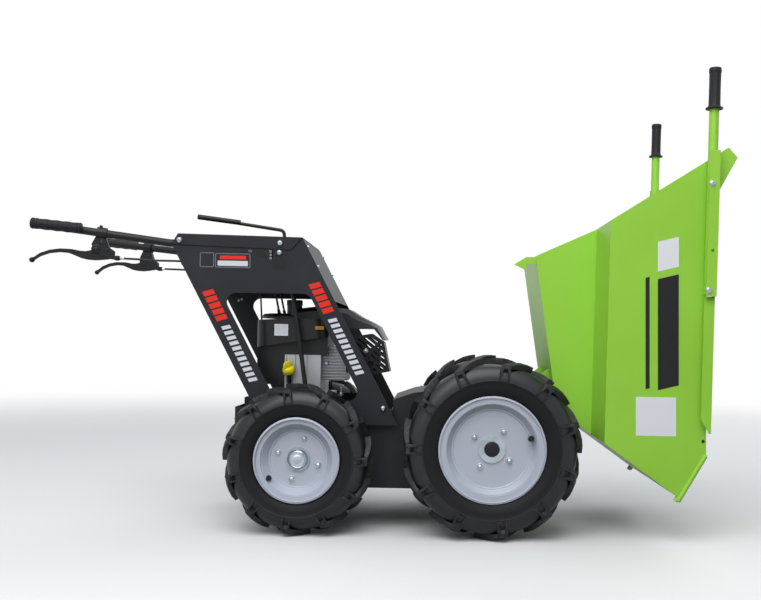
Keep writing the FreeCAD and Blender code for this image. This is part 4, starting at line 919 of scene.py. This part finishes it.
SHROUD_Y = -125
LABEL = (-628.5, -589, 541.5, 575)
LABEL_FIELD = (-625.5, -592, 544.5, 572)
ORANGE_MARK = (-512, -486, 561, 571)
HEAD_BOLT = (-484, -63, 463)
GUARD_BOLT = (-366.8, -95, 501.4)
GUARD_BOLT_D = 10
GUARD_WASHER = 1.35
STUD_FOOT = (-436, -100, 340)
STUD = (("stud", 0), ("nut_washer", 12), ("nut", 12), ("nut_washer", 33), ("nut", 33))
STARTER = (-601, 0, 606)
STARTER_RIBS = 10
STARTER_RIB = ((-1.5, -0.4), (-1.1, 1.6), (1.1, 1.6), (1.5, -0.4))
STARTER_RADII = (30, 66)
STARTER_RIBS_FROM, STARTER_RIBS_OVER = radians(100), radians(160)
FUEL_CAP = (-581, -60, 647)
FUEL_CAP_RIBS = 22
FUEL_CAP_RIB = ((21.5, -1.3), (23.2, -0.8), (23.2, 0.8), (21.5, 1.3))
DIPSTICK_CAP = (-584.5, -118, 434)
DIPSTICK_TUBE_FOOT = (-584, -112, 392)
DIPSTICK_LEAN = (-0.16, -0.5, 1)
# The wing on the dipstick's cap: height, half length and half width
WING = ((6, 16.5, 6.2), (16, 16, 5.6), (28, 14, 4.8), (35, 11, 3.8), (38, 7, 2))
WING_TURN = radians(-52)
THROTTLE_ROD = ((-688, -60, 762), (-677.4, -60, 581))


def labels():
    """A blank white square and a small orange mark on the shroud's side."""
    field = rounded_box(*LABEL_FIELD, 1.5)
    return [film(rounded_box(*LABEL, 1.5), SHROUD_Y, "white_film", field), film(field, SHROUD_Y, "pale_film"),
            film(rounded_box(*ORANGE_MARK, 3), SHROUD_Y, "orange_film")]


def starter_ribs():
    """Cooling ribs on the starter's dome, round its rear half."""
    rings = [[Vector((r, side, z)) * MM for side, z in STARTER_RIB] for r in STARTER_RADII]
    rib = moved(lofted(rings, "moulded", 20), Matrix.Rotation(STARTER_RIBS_FROM, 4, "Z"))
    ribs = repeated(rib, STARTER_RIBS, turn=(0, 0, STARTER_RIBS_OVER / (STARTER_RIBS - 1)))
    return moved(ribs, Matrix.Translation(plan(*STARTER)))


def dipstick():
    """Yellow twist cap with its wing, on the black tube of the dipstick."""
    foot = plan(*DIPSTICK_CAP)
    rings = []
    for height, length, width in WING:
        outline = rounded_box(-width, width, -length, length, width * 0.9)
        rings.append([Vector((x, y, height)) * MM for x, y in outline])
    wing = moved(lofted(rings, "yellow"), Matrix.Rotation(WING_TURN, 4, "Z"))
    low, high = plan(*DIPSTICK_TUBE_FOOT), foot + 0.006 * Vector(DIPSTICK_LEAN).normalized()
    length = (high - low).length / MM
    tube = turned([(0, 0), (0, 6.5), (length, 6.5), (length, 0)], 20, "black")
    return [fitting("dipstick_knob", foot, DIPSTICK_LEAN), stood(wing, foot, DIPSTICK_LEAN),
            stood(tube, low, high - low)]


def throttle_rod():
    """Thin rod from the console's rear panel down to the shroud."""
    top, foot = (plan(*place) for place in THROTTLE_ROD)
    length = (top - foot).length / MM
    rod = turned([(0, 0), (0, 5), (4, 5), (6, 2.6), (length, 2.6), (length, 0)], 16, "black")
    return stood(rod, foot, top - foot)


class BARROW_OT_engine_fittings(Operator):
    """Blank labels, bolts, starter ribs, cap knurl and the throttle rod on the engine."""
    bl_idname = "barrow.engine_fittings"
    bl_label = "Engine fittings"

    def execute(self, context):
        finish_piece("engine_labels", labels())
        bolts = [fitting(kind, plan(*HEAD_BOLT), OUTWARDS) for kind in ("hex_flange", "hex_head")]
        bolts += [fitting(kind, plan(*STUD_FOOT) + up * MM * UPWARDS, UPWARDS) for kind, up in STUD]
        bolts.append(dome_bolt(GUARD_BOLT_D, plan(*GUARD_BOLT), OUTWARDS, GUARD_WASHER))
        finish_piece("engine_bolts", bolts)
        finish_piece("starter_ribs", [starter_ribs()])
        ribs = knurl(FUEL_CAP_RIB, (-16, -1), "moulded", FUEL_CAP_RIBS)
        moved(ribs, Matrix.Translation(plan(*FUEL_CAP)))
        finish_piece("fuel_cap_knurl", [ribs])
        finish_piece("throttle_rod", [throttle_rod()])
        finish_piece("dipstick_cap", dipstick(), replaced=["oil_dipstick"])
        return {"FINISHED"}


# Tub fittings at rest, in the plan's millimetres. A stripe is x from, x to, z from, z to
# and how far its ends slant.

RAIL_Y = -340
TUB_SIDE_Y = -305
RAIL_BOLTS = ((559.5, 965.6), (554.7, 682.8))
RAIL_BOLT_D = 15
RAIL_BOLT_RISE = 0.29
RAIL_WASHER = 1.15
# The hole in the tub's side is not cut: a dark disc of painted shade stands for its dark inside.
TUB_HOLE_SHADE = (557.2, 279.1)
TUB_HOLE_SHADE_R = 4.5
TUB_TILT = 0.0187
TILT_FROM_Z = 712
ROLLED_EDGE = ((566, -303, 242), (493, -303, 116))
ROLLED_EDGE_R = 6.5
LABEL_STRIPE = (369, 476.5, 395.5, 291.5, 0)
TUB_STRIPES = (((428, 484, 812, 732, 14), "white_film"), ((428, 484, 712, 414, 14), "dark_film_and_painted_shade"),
               ((395, 406, 715, 416, 3), "dark_film_and_painted_shade"))


def tub_stripe(sizes, finish):
    """Stripe parallel to the tub's edges, which lean."""
    x0, x1, z0, z1, slant = sizes
    lean0, lean1 = ((TILT_FROM_Z - z) * TUB_TILT for z in (z0, z1))
    corners = [(x0 + lean0, z0), (x1 + lean0, z0 + slant), (x1 + lean1, z1 + slant), (x0 + lean1, z1)]
    return film(corners, TUB_SIDE_Y, finish)


def rolled_edge():
    """Round edge that stiffens the side sheet below the mouth."""
    top, foot = (plan(*place) for place in ROLLED_EDGE)
    length = (top - foot).length / MM
    r = ROLLED_EDGE_R
    edge = turned([(0, 0), (0, 0.8 * r), (0.2 * r, r), (length - 0.5 * r, r), (length - 0.1 * r, 0.7 * r),
                   (length, 0)], 18, "green")
    return stood(edge, foot, top - foot)


class BARROW_OT_tub_fittings(Operator):
    """Bolts, blank label, plain stripes, rolled edges, and a dark disc of painted shade at a hole in the tub's
    side.
    """
    bl_idname = "barrow.tub_fittings"
    bl_label = "Tub fittings"

    def execute(self, context):
        bolts = [dome_bolt(RAIL_BOLT_D, plan(x, RAIL_Y, z), OUTWARDS, RAIL_WASHER, RAIL_BOLT_RISE)
                 for x, z in RAIL_BOLTS]
        finish_piece("tub_bolts", twins(*bolts), "tub")
        # The dark disc is painted shade in place of the hole's dark inside.
        films = [film(circle(*TUB_HOLE_SHADE, TUB_HOLE_SHADE_R), TUB_SIDE_Y, "dark_film_and_painted_shade")]
        films += [tub_stripe(sizes, finish) for sizes, finish in TUB_STRIPES]
        label = tub_stripe(LABEL_STRIPE, "white_film")
        finish_piece("tub_films_and_hole_shade", [*twins(*films), label], "tub")
        finish_piece("tub_rolled_edges", twins(rolled_edge()), "tub")
        return {"FINISHED"}


# Stage. Lamps are square soft panels: place, what they point at, size in metres, and watts.

LAMPS = {
    "sky_panel": ((-0.3, -2.4, 3.4), (0.1, 0, 0.4), 3.2, 125),
    "front_panel": ((-2.6, -4.2, 2.6), (0.1, 0, 0.6), 2.4, 24),
    "rear_panel": ((2.2, 2.8, 3.2), (0.1, 0, 0.6), 3, 42),
}
SKY = "#E8EDF6"
# The sky's strength rises from just below the horizon to overhead.
SKY_RISE = {"From Min": -0.1, "From Max": 0.9, "To Min": 0.16, "To Max": 0.85}
FLOOR_RADIUS = 40
# The floor throws back less light than it shows, so undersides stay as dark as outdoors.
FLOOR_SHOWN, FLOOR_THROWN = "#DCDCDB", "#5E5C5A"
# Metres from the middle between which the floor runs out into the white
FLOOR_FADE = {"From Min": 1.6, "From Max": 7.0}
# The photograph's camera, in its pixels: width, focal length, and the sight line's column
# and height above the middle. The machine stands nose-down on the photograph's slope, so
# the camera rolls by that much.
PHOTO_W, FOCAL, SIGHT_X, SIGHT_UP = 761, 916, 435, 38
CAMERA_PLACE = (-166.2, -2760, 543)
SLOPE = radians(-1.07)
SENSOR_W = 36


def add_camera(scene):
    data = bpy.data.cameras.new("camera")
    data.sensor_width = SENSOR_W
    data.lens = SENSOR_W * FOCAL / PHOTO_W
    data.shift_x = (PHOTO_W / 2 - SIGHT_X) / PHOTO_W
    data.shift_y = SIGHT_UP / PHOTO_W
    camera = bpy.data.objects.new("camera", data)
    camera.location = plan(*CAMERA_PLACE)
    roll = Matrix.Rotation(SLOPE, 4, "Y") @ Matrix.Rotation(radians(90), 4, "X")
    camera.rotation_euler = roll.to_euler()
    scene.collection.objects.link(camera)
    scene.camera = camera


def add_lamp(name, place, target, size, power):
    data = bpy.data.lights.new(name, "AREA")
    data.shape = "SQUARE"
    data.size = size
    data.energy = power
    lamp = bpy.data.objects.new(name, data)
    lamp.location = place
    lamp.rotation_euler = (Vector(target) - Vector(place)).to_track_quat("-Z", "Y").to_euler()
    bpy.context.scene.collection.objects.link(lamp)


def soft_sky():
    """Soft sky, brighter overhead than at the horizon, and white where the camera sees it."""
    world = bpy.data.worlds.new("soft_sky")
    world.use_nodes = True
    tree = world.node_tree
    tree.nodes.clear()
    path = add_node(tree, "ShaderNodeLightPath").outputs
    plain = path["Is Camera Ray"]
    for ray in ("Is Transmission Ray", "Is Glossy Ray"):
        plain = add_node(tree, "ShaderNodeMath", {0: plain, 1: path[ray]}, operation="MAXIMUM")
    where = add_node(tree, "ShaderNodeTexCoord")
    parts = add_node(tree, "ShaderNodeSeparateXYZ", {0: where.outputs["Generated"]})
    height = add_node(tree, "ShaderNodeMapRange", {"Value": parts.outputs["Z"], **SKY_RISE})
    sky = add_node(tree, "ShaderNodeBackground", {"Color": rgba(SKY), "Strength": height})
    white = add_node(tree, "ShaderNodeBackground", {"Color": WHITE, "Strength": 1})
    mixed = add_node(tree, "ShaderNodeMixShader", {0: plain, 1: sky, 2: white})
    add_node(tree, "ShaderNodeOutputWorld", {"Surface": mixed})
    return world


def pale_floor():
    """Pale floor that runs out into the white background."""
    material = FINISH["floor"]
    tree = material.node_tree
    shader = tree.nodes["Principled BSDF"]
    path = add_node(tree, "ShaderNodeLightPath").outputs
    tone = add_node(tree, "ShaderNodeMix", data_type="RGBA",
                    inputs={0: path["Is Diffuse Ray"], 6: rgba(FLOOR_SHOWN), 7: rgba(FLOOR_THROWN)})
    tree.links.new(tone.outputs[2], shader.inputs["Base Color"])
    where = add_node(tree, "ShaderNodeTexCoord")
    far = add_node(tree, "ShaderNodeVectorMath", {0: where.outputs["Object"]}, operation="LENGTH")
    ramp = add_node(tree, "ShaderNodeMapRange", {"Value": far.outputs["Value"], **FLOOR_FADE},
                    interpolation_type="SMOOTHERSTEP")
    fade = add_node(tree, "ShaderNodeMath", {0: ramp, 1: path["Is Camera Ray"]}, operation="MULTIPLY")
    glow = add_node(tree, "ShaderNodeEmission", {"Color": WHITE, "Strength": 1})
    mixed = add_node(tree, "ShaderNodeMixShader", {0: fade, 1: shader, 2: glow})
    tree.links.new(mixed.outputs[0], tree.nodes["Material Output"].inputs["Surface"])
    bm = bmesh.new()
    bmesh.ops.create_circle(bm, cap_ends=True, segments=96, radius=FLOOR_RADIUS)
    floor = from_bmesh(bm, [material])
    floor.name = floor.data.name = "floor"
    return floor


class BARROW_OT_stage(Operator):
    """Pale floor, soft light and the camera of the photograph."""
    bl_idname = "barrow.stage"
    bl_label = "Stage"

    def execute(self, context):
        context.scene.view_settings.view_transform = "Standard"
        add_camera(context.scene)
        for name, row in LAMPS.items():
            add_lamp(name, *row)
        context.scene.world = soft_sky()
        pale_floor()
        return {"FINISHED"}


# Add-on

class BARROW_PT_panel(Panel):
    """Sizes, colours and pieces of the barrow."""
    bl_idname = "BARROW_PT_panel"
    bl_label = "Barrow"
    bl_space_type = "VIEW_3D"
    bl_region_type = "UI"
    bl_category = "Barrow"

    def draw(self, context):
        for group in GROUPS:
            settings = getattr(context.scene, group)
            for key in settings.__annotations__:
                self.layout.prop(settings, key)
        for operator in OPERATORS:
            self.layout.operator(operator.bl_idname)


GROUPS = {"barrow_colours": BarrowColours, "barrow_tyres": BarrowTyres, "barrow_fasteners": BarrowFasteners,
          "barrow_stripes": BarrowStripes}
OPERATORS = [BARROW_OT_finishes, BARROW_OT_stage, BARROW_OT_tyres, BARROW_OT_wheel_fittings, BARROW_OT_grips,
             BARROW_OT_lever_fittings, BARROW_OT_console_bolts, BARROW_OT_leg_stripes,
             BARROW_OT_console_films, BARROW_OT_engine_fittings, BARROW_OT_tub_fittings]


def register():
    for cls in [*GROUPS.values(), *OPERATORS, BARROW_PT_panel]:
        bpy.utils.register_class(cls)
    for name, cls in GROUPS.items():
        setattr(bpy.types.Scene, name, PointerProperty(type=cls))


def unregister():
    for name in GROUPS:
        delattr(bpy.types.Scene, name)
    for cls in [BARROW_PT_panel, *OPERATORS[::-1], *GROUPS.values()]:
        bpy.utils.unregister_class(cls)


def main():
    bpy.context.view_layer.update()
    register()
    for operator in OPERATORS:
        family, name = operator.bl_idname.split(".")
        getattr(getattr(bpy.ops, family), name)()


if __name__ == "__main__":
    main()
